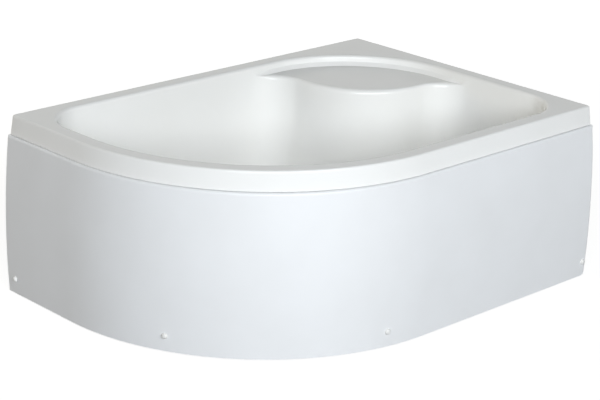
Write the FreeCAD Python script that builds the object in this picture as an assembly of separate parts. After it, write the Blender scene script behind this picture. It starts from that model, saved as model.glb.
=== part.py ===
import FreeCAD, Part
import math
import os

# Deep corner shower tray with a moulded seat, its front panel, its steel frame and its waste.
# Everything is laid out from the corner where the two walls meet: x runs along the long wall and
# y along the short wall, both negative into the room, and z is the height above the floor.
# All sizes are millimetres.

Vector = FreeCAD.Vector
UP = Vector(0, 0, 1)

# Tray moulding
TRAY_LENGTH = 1200.0  # rim along the long wall
TRAY_WIDTH = 850.0  # rim along the short wall
RIM_TOP = 465.0  # top of the rim above the floor
FRONT_RADIUS = 580.0  # the big rounded corner that faces the room
CORNER_RADIUS = 8.0  # the three square corners of the rim
RIM_WIDTH = 45.0  # flat rim between the outer edge and the opening
RIM_ROUND = 5.0  # rounding of the rim's outer edge
LIP_ROUND = 10.0  # rounding of the rim's inner edge
SKIRT_HEIGHT = 48.0  # turned-down edge of the rim
SKIRT_FLARE = 8.0  # the two room sides of that edge lean out by this much
SHELL_WALL = 5.0  # acrylic with its glass-fibre backing
FLOOR_TOP = 150.0  # standing surface above the floor
BASIN_LEAN = 28.0  # how far the basin walls come in between rim and floor
FLOOR_ROUND = 45.0  # cove between the walls and the standing surface
OPENING_RADIUS = 122.0  # corners of the opening at the far ends of the walls

# Corner seat
SEAT_DROP = 27.0  # seat below the rim
SEAT_LENGTH = 316.0  # from the opening's edge at the short wall
SEAT_WIDTH = 338.0  # from the opening's edge at the long wall
SEAT_BACK_RADIUS = 315.0  # curved back of the seat
SEAT_COVE_RADIUS = 101.0  # hollow where the seat front runs into a wall
SEAT_FRONT_FLAT = 2.0  # straight length between a cove and the rounded nose
SEAT_EDGE_ROUND = 12.0  # rounding of the front edge
SEAT_BACK_FLAT = 10.0  # sloping flat at the foot of the seat's back

# Front panel
PANEL_SHEET = 4.0
PANEL_FLOOR_GAP = 5.0  # the panel hangs clear of the floor
PANEL_SKIRT_GAP = 1.5  # shadow line under the rim's skirt
PANEL_TOP_PROUD = 15.0  # how far it stands out from the rim at its top
PANEL_BELLY_PROUD = 29.0  # and at its fullest height
PANEL_BELLY_HEIGHT = 165.0
PANEL_EDGE_ROUND = 6.0
PANEL_RIGHT_ROUND = 18.0  # lower corner at the short wall
PANEL_LEFT_ROUND = 8.0  # lower corner at the long wall
CORNER_SPREAD = 1.04  # the corner cuts are this much wider than a quarter round
LIP_INSIDE = 10.0  # back of the upstand behind the skirt, measured in from the rim's edge
LIP_RISE = 12.5  # upstand above the panel's top
LIP_END_GAP = 15.0  # the upstand stops before it reaches the wall-side skirts

# Panel fixings
FIX_HEIGHT = 45.0  # screws above the floor
FIX_LEFT_SIDE = 8.0  # left screw, sideways from its foot
FIX_RIGHT_SIDE = 11.0  # right screw, sideways from its foot
FIX_ARC_LOW = 27.0  # degrees round the big corner
FIX_ARC_HIGH = 79.0  # degrees round the big corner
SCREW_RADIUS = 2.0
SCREW_HEAD_RADIUS = 4.0
SCREW_HEAD_HEIGHT = 2.1
SCREW_REACH = 14.0  # length behind the panel's face
SCREW_CLEARANCE = 0.3
CAP_BASE_RADIUS = 6.5
CAP_BASE_HEIGHT = 2.2
CAP_RADIUS = 7.2
CAP_HEIGHT = 6.4
CAP_ROUND = 5.2
CAP_FLATS = 4  # the dome is turned from this many cones
CAP_SKIN = 0.6
CAP_SEAT = 0.05  # the flat base stands this far off the curved sheet
BRACKET_SHEET = 2.5
BRACKET_HALF_WIDTH = 13.0
BRACKET_EDGE = 9.0  # metal left beside an offset screw
BRACKET_TAIL = 14.0  # metal left behind the stud
TAB_REACH = 16.0  # the bracket's tab below the screw
TAB_GAP = 0.6  # between the tab and the sheet at the tab's lower end
CLIP_WIDTH = 30.0
CLIP_OUTER_LEG = 3.7
CLIP_INNER_LEG = 2.0
CLIP_BRIDGE = 2.7
CLIP_LEG = 8.0  # how far the legs reach down the upstand
CLIP_EASE = 0.3

# Steel frame and boards
BOARD_SHEET = 15.0
BOARD_INSET = 75.0  # edge of the board inside the opening's outline
BOARD_HOLE_RADIUS = 50.0
SEAT_BOARD_SHEET = 12.0
SEAT_BOARD_MARGIN = 20.0  # from the seat's front
SEAT_BOARD_BACK = 88.0  # from the opening's edge at the walls
SEAT_BOARD_CORNER = 10.0
SEAT_BOARD_BACK_CORNER = 60.0
TUBE = 25.0
TUBE_WALL = 2.0
FRAME_EDGE = 26.0  # centre line of the outer tubes inside the rim's edge
POST_RADIUS = 10.0
POST_WALL = 1.5
POST_END = 14.0  # tube left beyond the middle of a post
POST_PAD = 4.0
POST_PAD_RADIUS = 11.0
POST_PLUG = 10.0
PLUG_EASE = 0.15
END_PLUG_FLANGE = 2.0
END_PLUG_DEPTH = 8.0
BOARD_SCREW_RADIUS = 2.4
BOARD_SCREW_BITE = 11.0
BOARD_SCREW_HEAD_RADIUS = 5.5
BOARD_SCREW_HEAD = 4.0
HOLE_EASE = 0.1

# Feet
FOOT_INSET = 61.0  # foot inside the rim's edge
BACK_FOOT_SHARE = 0.55  # middle foot along the long wall
BACK_POST_SHARE = 0.45  # middle post along the long wall
STUD_RADIUS = 5.95
STUD_TOP = 150.0
STUD_END = 8.0  # lower end of the stud inside its pad
STUD_EASE = 0.05
STUD_HOLE_EASE = 0.55
NUT_FLATS = 19.0
WELD_NUT = 10.0
LOCK_NUT = 7.0
WASHER_RADIUS = 12.0
PAD_RADIUS = 25.0
PAD_NECK_RADIUS = 11.0
PAD_RIM = 7.0
PAD_HEIGHT = 22.0

# Waste and trap
DRAIN_LENGTH_SHARE = 0.465  # place of the waste along the long wall
DRAIN_WIDTH_SHARE = 0.46  # and along the short wall
FLANGE_RADIUS = 36.0
FLANGE_SHEET = 3.5
FLANGE_DISH_RADIUS = 33.0
RECESS_EASE = 2.0
GASKET_SHEET = 2.0
LOWER_GASKET = 3.5
TAIL_RADIUS = 23.5
TAIL_BORE = 20.0
TAIL_END = 96.0
TAIL_EASE = 0.5
THREAD_EASE = 0.05
STRAINER_BOTTOM = 108.0
STRAINER_SHEET = 6.0
STRAINER_HOLE_RADIUS = 1.8
STRAINER_RINGS = {0.46: 11, 0.74: 18}  # rings as shares of the bore, with their number of holes
BACK_NUT_FLATS = 64.0
BACK_NUT_HEIGHT = 10.0
UNION_RADIUS = 32.0
UNION_RIB_RADIUS = 2.0
UNION_RIBS = 8
UNION_ABOVE = 12.0  # union nut above the tail's end
UNION_SHOULDER = 5.9
TRAP_WASHER = 3.0
COLLAR_RADIUS = 23.2
COLLAR_HEIGHT = 7.0
COLLAR_EASE = 0.1
INLET_RADIUS = 17.7
INLET_BORE = 15.0
DIP_END = 28.0
BOTTLE_RADIUS = 44.0
BOTTLE_WALL = 3.0
BOTTLE_TOP = 77.0
BOTTLE_END = 18.0
SPIGOT_RADIUS = 20.0
SPIGOT_WALL = 2.5
SPIGOT_COLLAR = 22.0  # stop for the pipe's coupling, next to the bottle
SPIGOT_COLLAR_END = 48.0  # from the waste's axis
SPIGOT_HEIGHT = 54.0
SPIGOT_REACH = 100.0  # from the waste's axis
CUP_RADIUS = 48.0
CUP_EASE = 0.08
CUP_TOP = 31.0
CUP_FLOOR = 15.0
CUP_BOTTOM = 10.0
CUP_SEAL_BORE = 40.0
PLUG_LIFT = 8.0  # open plug above its closed place
PLUG_REST_GAP = 0.4
PLUG_RADIUS = 32.0
PLUG_SHEET = 4.0
PLUG_SEAL_RADIUS = 19.5
PLUG_SEAL = 3.0
STEM_RADIUS = 4.0
STEM_EASE = 0.05
STEM_END = 108.2
SOCKET_WALL = 2.5
SOCKET_FLOOR = 100.0  # foot of the stem's socket in the strainer

# Heights and lines that follow from the sizes above
RIM_UNDERSIDE = RIM_TOP - SHELL_WALL
SKIRT_BOTTOM = RIM_TOP - SKIRT_HEIGHT
SEAT_TOP = RIM_TOP - SEAT_DROP
FLOOR_UNDERSIDE = FLOOR_TOP - SHELL_WALL
FRAME_TOP = FLOOR_UNDERSIDE - BOARD_SHEET
FRAME_BOTTOM = FRAME_TOP - TUBE
PLATE_TOP = FRAME_BOTTOM - WELD_NUT
PLATE_BOTTOM = PLATE_TOP - BRACKET_SHEET
PANEL_TOP = SKIRT_BOTTOM - PANEL_SKIRT_GAP
ARC_CENTRE = Vector(FRONT_RADIUS - TRAY_LENGTH, FRONT_RADIUS - TRAY_WIDTH, 0)
LEFT_EDGE = RIM_WIDTH - TRAY_LENGTH
FRONT_EDGE = RIM_WIDTH - TRAY_WIDTH
SEAT_SIDE = -RIM_WIDTH - SEAT_LENGTH
SEAT_FRONT = -RIM_WIDTH - SEAT_WIDTH
SEAT_NOSE_RADIUS = min(SEAT_LENGTH, SEAT_WIDTH) - SEAT_COVE_RADIUS - SEAT_FRONT_FLAT
DRAIN = Vector(-DRAIN_LENGTH_SHARE * TRAY_LENGTH, -DRAIN_WIDTH_SHARE * TRAY_WIDTH, 0)

# The panel's face is an arc in section, fullest at the belly
BELLY_RISE = PANEL_TOP - PANEL_BELLY_HEIGHT
BELLY_SWELL = PANEL_BELLY_PROUD - PANEL_TOP_PROUD
BELLY_RADIUS = (BELLY_RISE ** 2 + BELLY_SWELL ** 2) / (2 * BELLY_SWELL)
FIX_TILT = math.asin((PANEL_BELLY_HEIGHT - FIX_HEIGHT) / BELLY_RADIUS)


def proud_at(height):
    """Panel face in front of the rim's edge at one height."""
    offset = height - PANEL_BELLY_HEIGHT
    return PANEL_BELLY_PROUD - BELLY_RADIUS + math.sqrt(BELLY_RADIUS ** 2 - offset ** 2)


# The footprint reaches from the walls to the tips of the screw caps or the belly
CAP_REACH = (CAP_RADIUS - CAP_ROUND) * math.sin(FIX_TILT) + CAP_HEIGHT * math.cos(FIX_TILT)
CAP_TIP = proud_at(FIX_HEIGHT) + CAP_REACH
REACH = max(PANEL_BELLY_PROUD, CAP_TIP)
FOOTPRINT_MIDDLE = Vector((TRAY_LENGTH + REACH) / 2, (TRAY_WIDTH + REACH) / 2, 0)

# Outlines seen from above, as corners with their rounding
RIM_OUTLINE = [
    (-TRAY_LENGTH, 0, CORNER_RADIUS),
    (0, 0, CORNER_RADIUS),
    (0, -TRAY_WIDTH, CORNER_RADIUS),
    (-TRAY_LENGTH, -TRAY_WIDTH, FRONT_RADIUS),
]
OPENING_OUTLINE = [
    (LEFT_EDGE, -RIM_WIDTH, OPENING_RADIUS),
    (-RIM_WIDTH, -RIM_WIDTH, SEAT_BACK_RADIUS),
    (-RIM_WIDTH, FRONT_EDGE, OPENING_RADIUS),
    (LEFT_EDGE, FRONT_EDGE, FRONT_RADIUS - RIM_WIDTH),
]
BASIN_OUTLINE = [
    (LEFT_EDGE, -RIM_WIDTH, OPENING_RADIUS),
    (SEAT_SIDE, -RIM_WIDTH, SEAT_COVE_RADIUS),
    (SEAT_SIDE, SEAT_FRONT, SEAT_NOSE_RADIUS),
    (-RIM_WIDTH, SEAT_FRONT, SEAT_COVE_RADIUS),
    (-RIM_WIDTH, FRONT_EDGE, OPENING_RADIUS),
    (LEFT_EDGE, FRONT_EDGE, FRONT_RADIUS - RIM_WIDTH),
]


def save(node, *solids):
    """Write one node, moved so that the middle of the footprint is the origin."""
    shape = solids[0] if len(solids) == 1 else Part.makeCompound(list(solids))
    moved = shape.copy()
    moved.translate(FOOTPRINT_MIDDLE)
    moved.exportStep("parts/" + node + ".step")


def inset(corners, steps):
    """Move the sides of an outline inwards, all by one step or each by its own."""
    count = len(corners)
    if not isinstance(steps, list):
        steps = [steps] * count
    area = sum(a[0] * b[1] - b[0] * a[1] for a, b in zip(corners, corners[1:] + corners[:1]))
    way = 1.0 if area > 0 else -1.0
    sides = []
    for index, step in enumerate(steps):
        start = Vector(corners[index][0], corners[index][1], 0)
        end = Vector(corners[(index + 1) % count][0], corners[(index + 1) % count][1], 0)
        along = (end - start).normalize()
        sides.append((start + UP.cross(along) * way * step, along))
    moved = []
    for index, corner in enumerate(corners):
        (start, along), (other, turned) = sides[index - 1], sides[index]
        bend = along.cross(turned).z
        reach = (other - start).cross(turned).z / bend
        meet = start + along * reach
        step = steps[index] if steps[index] == steps[index - 1] else 0.0
        radius = corner[2] - step if bend * way > 0 else corner[2] + step
        moved.append((meet.x, meet.y, max(radius, 1.0)))
    return moved


def outline_edges(corners, height):
    """Straight sides and tangent arcs of an outline, in order."""
    bends = []
    for index, corner in enumerate(corners):
        before, after = corners[index - 1], corners[(index + 1) % len(corners)]
        tip = Vector(corner[0], corner[1], height)
        back = (Vector(before[0], before[1], height) - tip).normalize()
        ahead = (Vector(after[0], after[1], height) - tip).normalize()
        half = back.getAngle(ahead) / 2
        run = corner[2] / math.tan(half)
        crown = tip + (back + ahead).normalize() * (corner[2] / math.sin(half) - corner[2])
        bends.append((tip + back * run, crown, tip + ahead * run))
    edges = []
    for index, (start, crown, end) in enumerate(bends):
        edges.append(Part.Arc(start, crown, end).toShape())
        edges.append(Part.LineSegment(end, bends[(index + 1) % len(bends)][0]).toShape())
    return edges


def outline_wire(corners, height):
    """Closed wire of an outline."""
    return Part.Wire(outline_edges(corners, height))


def plate(corners, bottom, top):
    """Flat plate with a rounded outline."""
    return Part.Face(outline_wire(corners, bottom)).extrude(UP * (top - bottom))


def leaning(lower, bottom, upper, top):
    """Solid whose outline changes evenly from its bottom to its top."""
    faces = [Part.Face(outline_wire(lower, bottom)), Part.Face(outline_wire(upper, top))]
    for low, high in zip(outline_edges(lower, bottom), outline_edges(upper, top)):
        if isinstance(low.Curve, Part.Line):
            (start, end), (above, beyond) = low.Vertexes, high.Vertexes
            tips = [start.Point, end.Point, beyond.Point, above.Point]
            faces.append(Part.Face(Part.makePolygon(tips + tips[:1])))
        else:
            faces.append(Part.makeRuledSurface(low, high))
    shell = Part.makeShell(faces)
    shell.sewShape()
    solid = Part.makeSolid(shell)
    if solid.Volume < 0:
        solid.reverse()
    return solid


def edges_at(shape, height):
    """Edges that lie in one level plane."""
    level = []
    for edge in shape.Edges:
        heights = [vertex.Z for vertex in edge.Vertexes] + [edge.CenterOfMass.z]
        if all(abs(value - height) < 1e-4 for value in heights):
            level.append(edge)
    return level


def rounded(shape, radius, edges):
    """Shape with rounded edges, or with sharp ones where the sizes leave no room for the rounding."""
    try:
        soft = shape.makeFillet(radius, edges)
    except Part.OCCError:
        return shape
    return soft if soft.isValid() else shape


def rod(centre, radius, bottom, top):
    """Upright round bar."""
    return Part.makeCylinder(radius, top - bottom, Vector(centre.x, centre.y, bottom))


def ring(centre, outer, inner, bottom, top):
    """Upright round bar with a hole through it."""
    return rod(centre, outer, bottom, top).cut(rod(centre, inner, bottom, top))


def turned(points):
    """Solid turned about the upright axis from radius and height pairs."""
    outline = [Vector(radius, 0, height) for radius, height in points]
    return Part.Face(Part.makePolygon(outline + outline[:1])).revolve(Vector(0, 0, 0), UP, 360)


def hexagon(centre, flats, bore, bottom, top):
    """Hexagonal nut with a plain bore."""
    reach = flats / math.sqrt(3)
    tips = [
        centre + Vector(reach * math.cos(side * math.pi / 3), reach * math.sin(side * math.pi / 3), bottom)
        for side in range(6)
    ]
    body = Part.Face(Part.makePolygon(tips + tips[:1])).extrude(UP * (top - bottom))
    return body.cut(rod(centre, bore, bottom, top))


def drilled(shape, centres, radius, bottom, top):
    """Shape with upright holes."""
    for centre in centres:
        shape = shape.cut(rod(centre, radius, bottom, top))
    return shape


def lean_at(height):
    """How far the basin walls have come in at one height."""
    return BASIN_LEAN * (RIM_TOP - height) / (RIM_TOP - FLOOR_TOP)


def left_station(distance):
    """Local frame on the rim's left side: x points out of the tray, z up."""
    return FreeCAD.Placement(Vector(-TRAY_LENGTH, -distance, 0), FreeCAD.Rotation(UP, 180))


def arc_station(degrees):
    """Local frame on the big rounded corner, counted from the left side."""
    turn = math.radians(180 + degrees)
    out = Vector(math.cos(turn), math.sin(turn), 0)
    return FreeCAD.Placement(ARC_CENTRE + out * FRONT_RADIUS, FreeCAD.Rotation(UP, 180 + degrees))


def front_station(distance):
    """Local frame on the rim's front, counted from the short wall."""
    return FreeCAD.Placement(Vector(-distance, -TRAY_WIDTH, 0), FreeCAD.Rotation(UP, 270))


def put(shape, place):
    """Copy of a shape drawn in a local frame, moved to its place."""
    moved = shape.copy()
    moved.Placement = place.multiply(moved.Placement)
    return moved


os.makedirs("parts", exist_ok=True)


# Tray shell
def basin(grow, top, seat, floor, rounding):
    """Inside of the basin and seat pocket, or their outside when grown by the wall."""
    upper = inset(BASIN_OUTLINE, lean_at(top) - grow)
    lower = inset(BASIN_OUTLINE, lean_at(floor + grow) - grow)
    well = leaning(lower, floor, upper, top)
    well = rounded(well, rounding, edges_at(well, floor))
    flat_top = seat + SEAT_BACK_FLAT
    pocket_line = inset(OPENING_OUTLINE, lean_at(flat_top + grow) - grow)
    pocket = leaning(pocket_line, flat_top, inset(OPENING_OUTLINE, lean_at(top) - grow), top)
    back_flat = leaning(inset(pocket_line, SEAT_BACK_FLAT), seat, pocket_line, flat_top)
    return well.fuse([pocket, back_flat]).removeSplitter()


inside = basin(0, RIM_TOP, SEAT_TOP, FLOOR_TOP, FLOOR_ROUND)
outside = basin(SHELL_WALL, RIM_UNDERSIDE, SEAT_TOP - SHELL_WALL, FLOOR_UNDERSIDE, FLOOR_ROUND + SHELL_WALL)
skirt_outline = inset(RIM_OUTLINE, [0.0, 0.0, -SKIRT_FLARE, -SKIRT_FLARE])
skirt_face = leaning(skirt_outline, SKIRT_BOTTOM, RIM_OUTLINE, RIM_TOP)
skirt_hollow = leaning(
    inset(skirt_outline, SHELL_WALL), SKIRT_BOTTOM, inset(RIM_OUTLINE, SHELL_WALL), RIM_UNDERSIDE
)
tray_shell = skirt_face.cut(skirt_hollow).fuse(outside).cut(inside).removeSplitter()

# Recess and hole for the waste
recess_depth = FLANGE_SHEET + GASKET_SHEET
recess_radius = FLANGE_RADIUS + RECESS_EASE
recess_floor = FLOOR_TOP - recess_depth
recess_underside = recess_floor - SHELL_WALL
tray_shell = tray_shell.fuse(rod(DRAIN, recess_radius + SHELL_WALL, recess_underside, FLOOR_UNDERSIDE))
tray_shell = tray_shell.cut(rod(DRAIN, recess_radius, recess_floor, FLOOR_TOP))
tray_shell = tray_shell.cut(rod(DRAIN, TAIL_RADIUS + TAIL_EASE, recess_underside, FLOOR_TOP))
tray_shell = tray_shell.removeSplitter()

# Rounded rim and rounded front edge of the seat
def near(edges, outline, height):
    """Edges whose middle lies on an outline."""
    line = outline_wire(outline, height)
    found = []
    for edge in edges:
        middle = edge.valueAt((edge.FirstParameter + edge.LastParameter) / 2)
        if line.distToShape(Part.Vertex(middle))[0] < 1e-3:
            found.append(edge)
    return found


tray_shell = rounded(tray_shell, RIM_ROUND, near(edges_at(tray_shell, RIM_TOP), RIM_OUTLINE, RIM_TOP))
tray_shell = rounded(tray_shell, LIP_ROUND, near(edges_at(tray_shell, RIM_TOP), OPENING_OUTLINE, RIM_TOP))
seat_edges = near(edges_at(tray_shell, SEAT_TOP), inset(BASIN_OUTLINE, lean_at(SEAT_TOP)), SEAT_TOP)
tray_shell = rounded(tray_shell, SEAT_EDGE_ROUND, seat_edges)
save("tray_shell", tray_shell)


# Places of the feet, the posts, the frame's tubes and the board's screws
def between(low, high, share):
    """Point part of the way from one place to another."""
    return low + (high - low) * share


left_foot = left_station(FRAME_EDGE).multVec(Vector(-FOOT_INSET, 0, 0))
low_foot = arc_station(FIX_ARC_LOW).multVec(Vector(-FOOT_INSET, 0, 0))
high_foot = arc_station(FIX_ARC_HIGH).multVec(Vector(-FOOT_INSET, 0, 0))
right_foot = front_station(FRAME_EDGE).multVec(Vector(-FOOT_INSET, 0, 0))
back_foot = Vector(-BACK_FOOT_SHARE * TRAY_LENGTH, -FRAME_EDGE, 0)
corner_foot = Vector(-FOOT_INSET, -FRAME_EDGE, 0)

front_rail_y = low_foot.y
middle_cross_x = high_foot.x
post_arc_radius = FRONT_RADIUS - FRAME_EDGE
seat_board_x = (SEAT_SIDE + SEAT_BOARD_MARGIN, -RIM_WIDTH - SEAT_BOARD_BACK)
seat_board_y = (SEAT_FRONT + SEAT_BOARD_MARGIN, -RIM_WIDTH - SEAT_BOARD_BACK)
seat_board_side = min(seat_board_x[1] - seat_board_x[0], seat_board_y[1] - seat_board_y[0])
seat_board_room = seat_board_side - SEAT_BOARD_CORNER - SEAT_FRONT_FLAT
seat_board_nose = min(SEAT_NOSE_RADIUS - SEAT_BOARD_MARGIN, seat_board_room)
seat_beam_y = sum(seat_board_y) / 2

arc_post_reach = math.sqrt(post_arc_radius ** 2 - (front_rail_y - ARC_CENTRE.y) ** 2)
front_post_reach = math.sqrt(post_arc_radius ** 2 - (middle_cross_x - ARC_CENTRE.x) ** 2)
rim_posts = {
    "back_left": Vector(FRAME_EDGE - TRAY_LENGTH, -FRAME_EDGE, 0),
    "back_middle": Vector(-BACK_POST_SHARE * TRAY_LENGTH, -FRAME_EDGE, 0),
    "back_right": Vector(-FRAME_EDGE, -FRAME_EDGE, 0),
    "front_left": Vector(ARC_CENTRE.x - arc_post_reach, front_rail_y, 0),
    "front_middle": Vector(middle_cross_x, ARC_CENTRE.y - front_post_reach, 0),
    "front_right": Vector(-FRAME_EDGE, FRAME_EDGE - TRAY_WIDTH, 0),
}
seat_post = Vector(sum(seat_board_x) / 2, seat_beam_y, 0)

# Centre lines of the frame's tubes
half_tube = TUBE / 2
back_face_y = -FRAME_EDGE - half_tube
rail_end_x = rim_posts["front_left"].x - POST_END
left_cross_x = between(middle_cross_x, rail_end_x, 0.5)
right_face_x = -FRAME_EDGE - half_tube
tubes = {
    "rail_back": (
        Vector(rim_posts["back_left"].x - POST_END, -FRAME_EDGE, FRAME_TOP),
        Vector(rim_posts["back_right"].x + POST_END, -FRAME_EDGE, FRAME_TOP),
    ),
    "rail_front": (
        Vector(rail_end_x, front_rail_y, FRAME_TOP),
        Vector(right_face_x, front_rail_y, FRAME_TOP),
    ),
    "cross_left": (
        Vector(left_cross_x, back_face_y, FRAME_TOP),
        Vector(left_cross_x, front_rail_y + half_tube, FRAME_TOP),
    ),
    "cross_middle_rear": (
        Vector(middle_cross_x, back_face_y, FRAME_TOP),
        Vector(middle_cross_x, front_rail_y + half_tube, FRAME_TOP),
    ),
    "cross_middle_front": (
        Vector(middle_cross_x, front_rail_y - half_tube, FRAME_TOP),
        Vector(middle_cross_x, rim_posts["front_middle"].y - POST_END, FRAME_TOP),
    ),
    "cross_right": (
        Vector(-FRAME_EDGE, back_face_y, FRAME_TOP),
        Vector(-FRAME_EDGE, rim_posts["front_right"].y - POST_END, FRAME_TOP),
    ),
    "seat_beam": (
        Vector(middle_cross_x + half_tube, seat_beam_y, FRAME_TOP),
        Vector(right_face_x, seat_beam_y, FRAME_TOP),
    ),
}

# Wood screws go up through these places into the floor board
board_screws = [
    Vector(left_cross_x, between(back_face_y, front_rail_y, 0.40), 0),
    Vector(left_cross_x, between(back_face_y, front_rail_y, 0.75), 0),
    Vector(middle_cross_x, between(back_face_y, front_rail_y, 0.30), 0),
    Vector(middle_cross_x, between(back_face_y, front_rail_y, 0.75), 0),
    Vector(middle_cross_x, between(front_rail_y, high_foot.y, 0.45), 0),
    Vector(between(middle_cross_x, right_face_x, 0.35), front_rail_y, 0),
    Vector(between(middle_cross_x, right_face_x, 0.70), front_rail_y, 0),
    Vector(between(middle_cross_x, SEAT_SIDE, 0.45), seat_beam_y, 0),
]
feet = {
    "left": left_foot,
    "front_left": low_foot,
    "front_middle": high_foot,
    "front_right": right_foot,
    "back_middle": back_foot,
    "back_right": corner_foot,
}

# Boards bonded under the standing surface and under the seat
floor_board = plate(inset(BASIN_OUTLINE, BOARD_INSET), FRAME_TOP, FLOOR_UNDERSIDE)
floor_board = floor_board.cut(rod(DRAIN, BOARD_HOLE_RADIUS, FRAME_TOP, FLOOR_UNDERSIDE))
bite_top = FRAME_TOP + BOARD_SCREW_BITE
floor_board = drilled(floor_board, board_screws, BOARD_SCREW_RADIUS + HOLE_EASE, FRAME_TOP, bite_top)
save("floor_board", floor_board)

seat_underside = SEAT_TOP - SHELL_WALL
seat_board_bottom = seat_underside - SEAT_BOARD_SHEET
seat_board_outline = [
    (seat_board_x[0], seat_board_y[1], SEAT_BOARD_CORNER),
    (seat_board_x[1], seat_board_y[1], SEAT_BOARD_BACK_CORNER),
    (seat_board_x[1], seat_board_y[0], SEAT_BOARD_CORNER),
    (seat_board_x[0], seat_board_y[0], seat_board_nose),
]
save("seat_board", plate(seat_board_outline, seat_board_bottom, seat_underside))


# Welded steel frame of square tubes
def square_tube(start, end):
    """Hollow square tube between two points on the middle of its top face."""
    run = end - start
    inner = TUBE - 2 * TUBE_WALL
    outside_box = Part.makeBox(run.Length, TUBE, TUBE, Vector(0, -half_tube, -TUBE))
    inside_box = Part.makeBox(run.Length, inner, inner, Vector(0, -inner / 2, TUBE_WALL - TUBE))
    turn = math.degrees(math.atan2(run.y, run.x))
    return put(outside_box.cut(inside_box), FreeCAD.Placement(start, FreeCAD.Rotation(UP, turn)))


for name, (start, end) in tubes.items():
    tube = square_tube(start, end)
    tube = drilled(tube, feet.values(), STUD_RADIUS + STUD_HOLE_EASE, FRAME_BOTTOM, FRAME_TOP)
    tube = drilled(tube, board_screws, BOARD_SCREW_RADIUS + HOLE_EASE, FRAME_BOTTOM, FRAME_TOP)
    save(name, tube)


# Plastic plugs in the open tube ends
def end_plug(tip, away):
    """Plug pushed into a tube end, its flange outside the end."""
    inner = TUBE - 2 * TUBE_WALL - 2 * PLUG_EASE
    flange = Part.makeBox(END_PLUG_FLANGE, TUBE, TUBE, Vector(0, -half_tube, -TUBE))
    corner = Vector(-END_PLUG_DEPTH, -inner / 2, -half_tube - inner / 2)
    insert = Part.makeBox(END_PLUG_DEPTH, inner, inner, corner)
    turn = math.degrees(math.atan2(away.y, away.x))
    return put(flange.fuse(insert).removeSplitter(), FreeCAD.Placement(tip, FreeCAD.Rotation(UP, turn)))


save(
    "tube_end_plugs",
    end_plug(tubes["rail_back"][0], Vector(-1, 0, 0)),
    end_plug(tubes["rail_back"][1], Vector(1, 0, 0)),
    end_plug(tubes["rail_front"][0], Vector(-1, 0, 0)),
    end_plug(tubes["cross_middle_front"][1], Vector(0, -1, 0)),
    end_plug(tubes["cross_right"][1], Vector(0, -1, 0)),
)


# Posts that carry the rim and the seat, each with a rubber pad on top
def post_pad(centre, top):
    """Rubber pad with a plug that sits in the post."""
    pad = rod(centre, POST_PAD_RADIUS, top - POST_PAD, top)
    plug_radius = POST_RADIUS - POST_WALL - PLUG_EASE
    return pad.fuse(rod(centre, plug_radius, top - POST_PAD - POST_PLUG, top - POST_PAD))


for name, centre in rim_posts.items():
    post = ring(centre, POST_RADIUS, POST_RADIUS - POST_WALL, FRAME_TOP, RIM_UNDERSIDE - POST_PAD)
    save("rim_post_" + name, post)
save(
    "seat_post",
    ring(seat_post, POST_RADIUS, POST_RADIUS - POST_WALL, FRAME_TOP, seat_board_bottom - POST_PAD),
)
pads = [post_pad(centre, RIM_UNDERSIDE) for centre in rim_posts.values()]
save("post_pads", *pads, post_pad(seat_post, seat_board_bottom))

# Wood screws that hold the floor board to the frame
screws = []
for centre in board_screws:
    shank = rod(centre, BOARD_SCREW_RADIUS, FRAME_BOTTOM, bite_top - HOLE_EASE)
    head = rod(centre, BOARD_SCREW_HEAD_RADIUS, FRAME_BOTTOM - BOARD_SCREW_HEAD, FRAME_BOTTOM)
    screws.append(shank.fuse(head))
save("board_screws", *screws)

# Feet: a stud in a plastic pad, screwed through a welded nut and held by a lock nut
lock_bottom = PLATE_BOTTOM - LOCK_NUT
bore = STUD_RADIUS + STUD_EASE
save("foot_weld_nuts", *[hexagon(foot, NUT_FLATS, bore, PLATE_TOP, FRAME_BOTTOM) for foot in feet.values()])
save("foot_lock_nuts", *[hexagon(foot, NUT_FLATS, bore, lock_bottom, PLATE_BOTTOM) for foot in feet.values()])
save(
    "foot_washers",
    *[
        ring(feet[name], WASHER_RADIUS, STUD_RADIUS + STUD_HOLE_EASE, PLATE_BOTTOM, PLATE_TOP)
        for name in ("back_middle", "back_right")
    ],
)
pad_profile = [
    (0, 0),
    (PAD_RADIUS, 0),
    (PAD_RADIUS, PAD_RIM),
    (PAD_NECK_RADIUS, PAD_HEIGHT),
    (bore, PAD_HEIGHT),
    (bore, STUD_END),
    (0, STUD_END),
]
for name, foot in feet.items():
    save("foot_stud_" + name, rod(foot, STUD_RADIUS, STUD_END, STUD_TOP))
    save("foot_pad_" + name, put(turned(pad_profile), FreeCAD.Placement(foot, FreeCAD.Rotation())))


# Front panel: one sheet bent round the front, with returns at its top and at both walls
panel_bottom = PANEL_FLOOR_GAP
sheet_top = PANEL_TOP - PANEL_SHEET
LEFT_RUN = -ARC_CENTRE.y
FRONT_RUN = -ARC_CENTRE.x


def bowed_section(inner, bottom, top, sheet):
    """Upright section from an inner line to the panel's bowed face, or to a skin below it."""
    low = Vector(proud_at(bottom) - sheet, 0, bottom)
    full = Vector(proud_at(PANEL_BELLY_HEIGHT) - sheet, 0, PANEL_BELLY_HEIGHT)
    high = Vector(proud_at(top) - sheet, 0, top)
    edges = [
        Part.LineSegment(Vector(inner, 0, bottom), low).toShape(),
        Part.Arc(low, full, high).toShape(),
        Part.LineSegment(high, Vector(inner, 0, top)).toShape(),
        Part.LineSegment(Vector(inner, 0, top), Vector(inner, 0, bottom)).toShape(),
    ]
    return Part.Face(Part.Wire(edges))


def flat_section(inner, outer, bottom, top):
    """Upright rectangular section."""
    tips = [Vector(inner, 0, bottom), Vector(outer, 0, bottom), Vector(outer, 0, top), Vector(inner, 0, top)]
    return Part.Face(Part.makePolygon(tips + tips[:1]))


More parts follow.
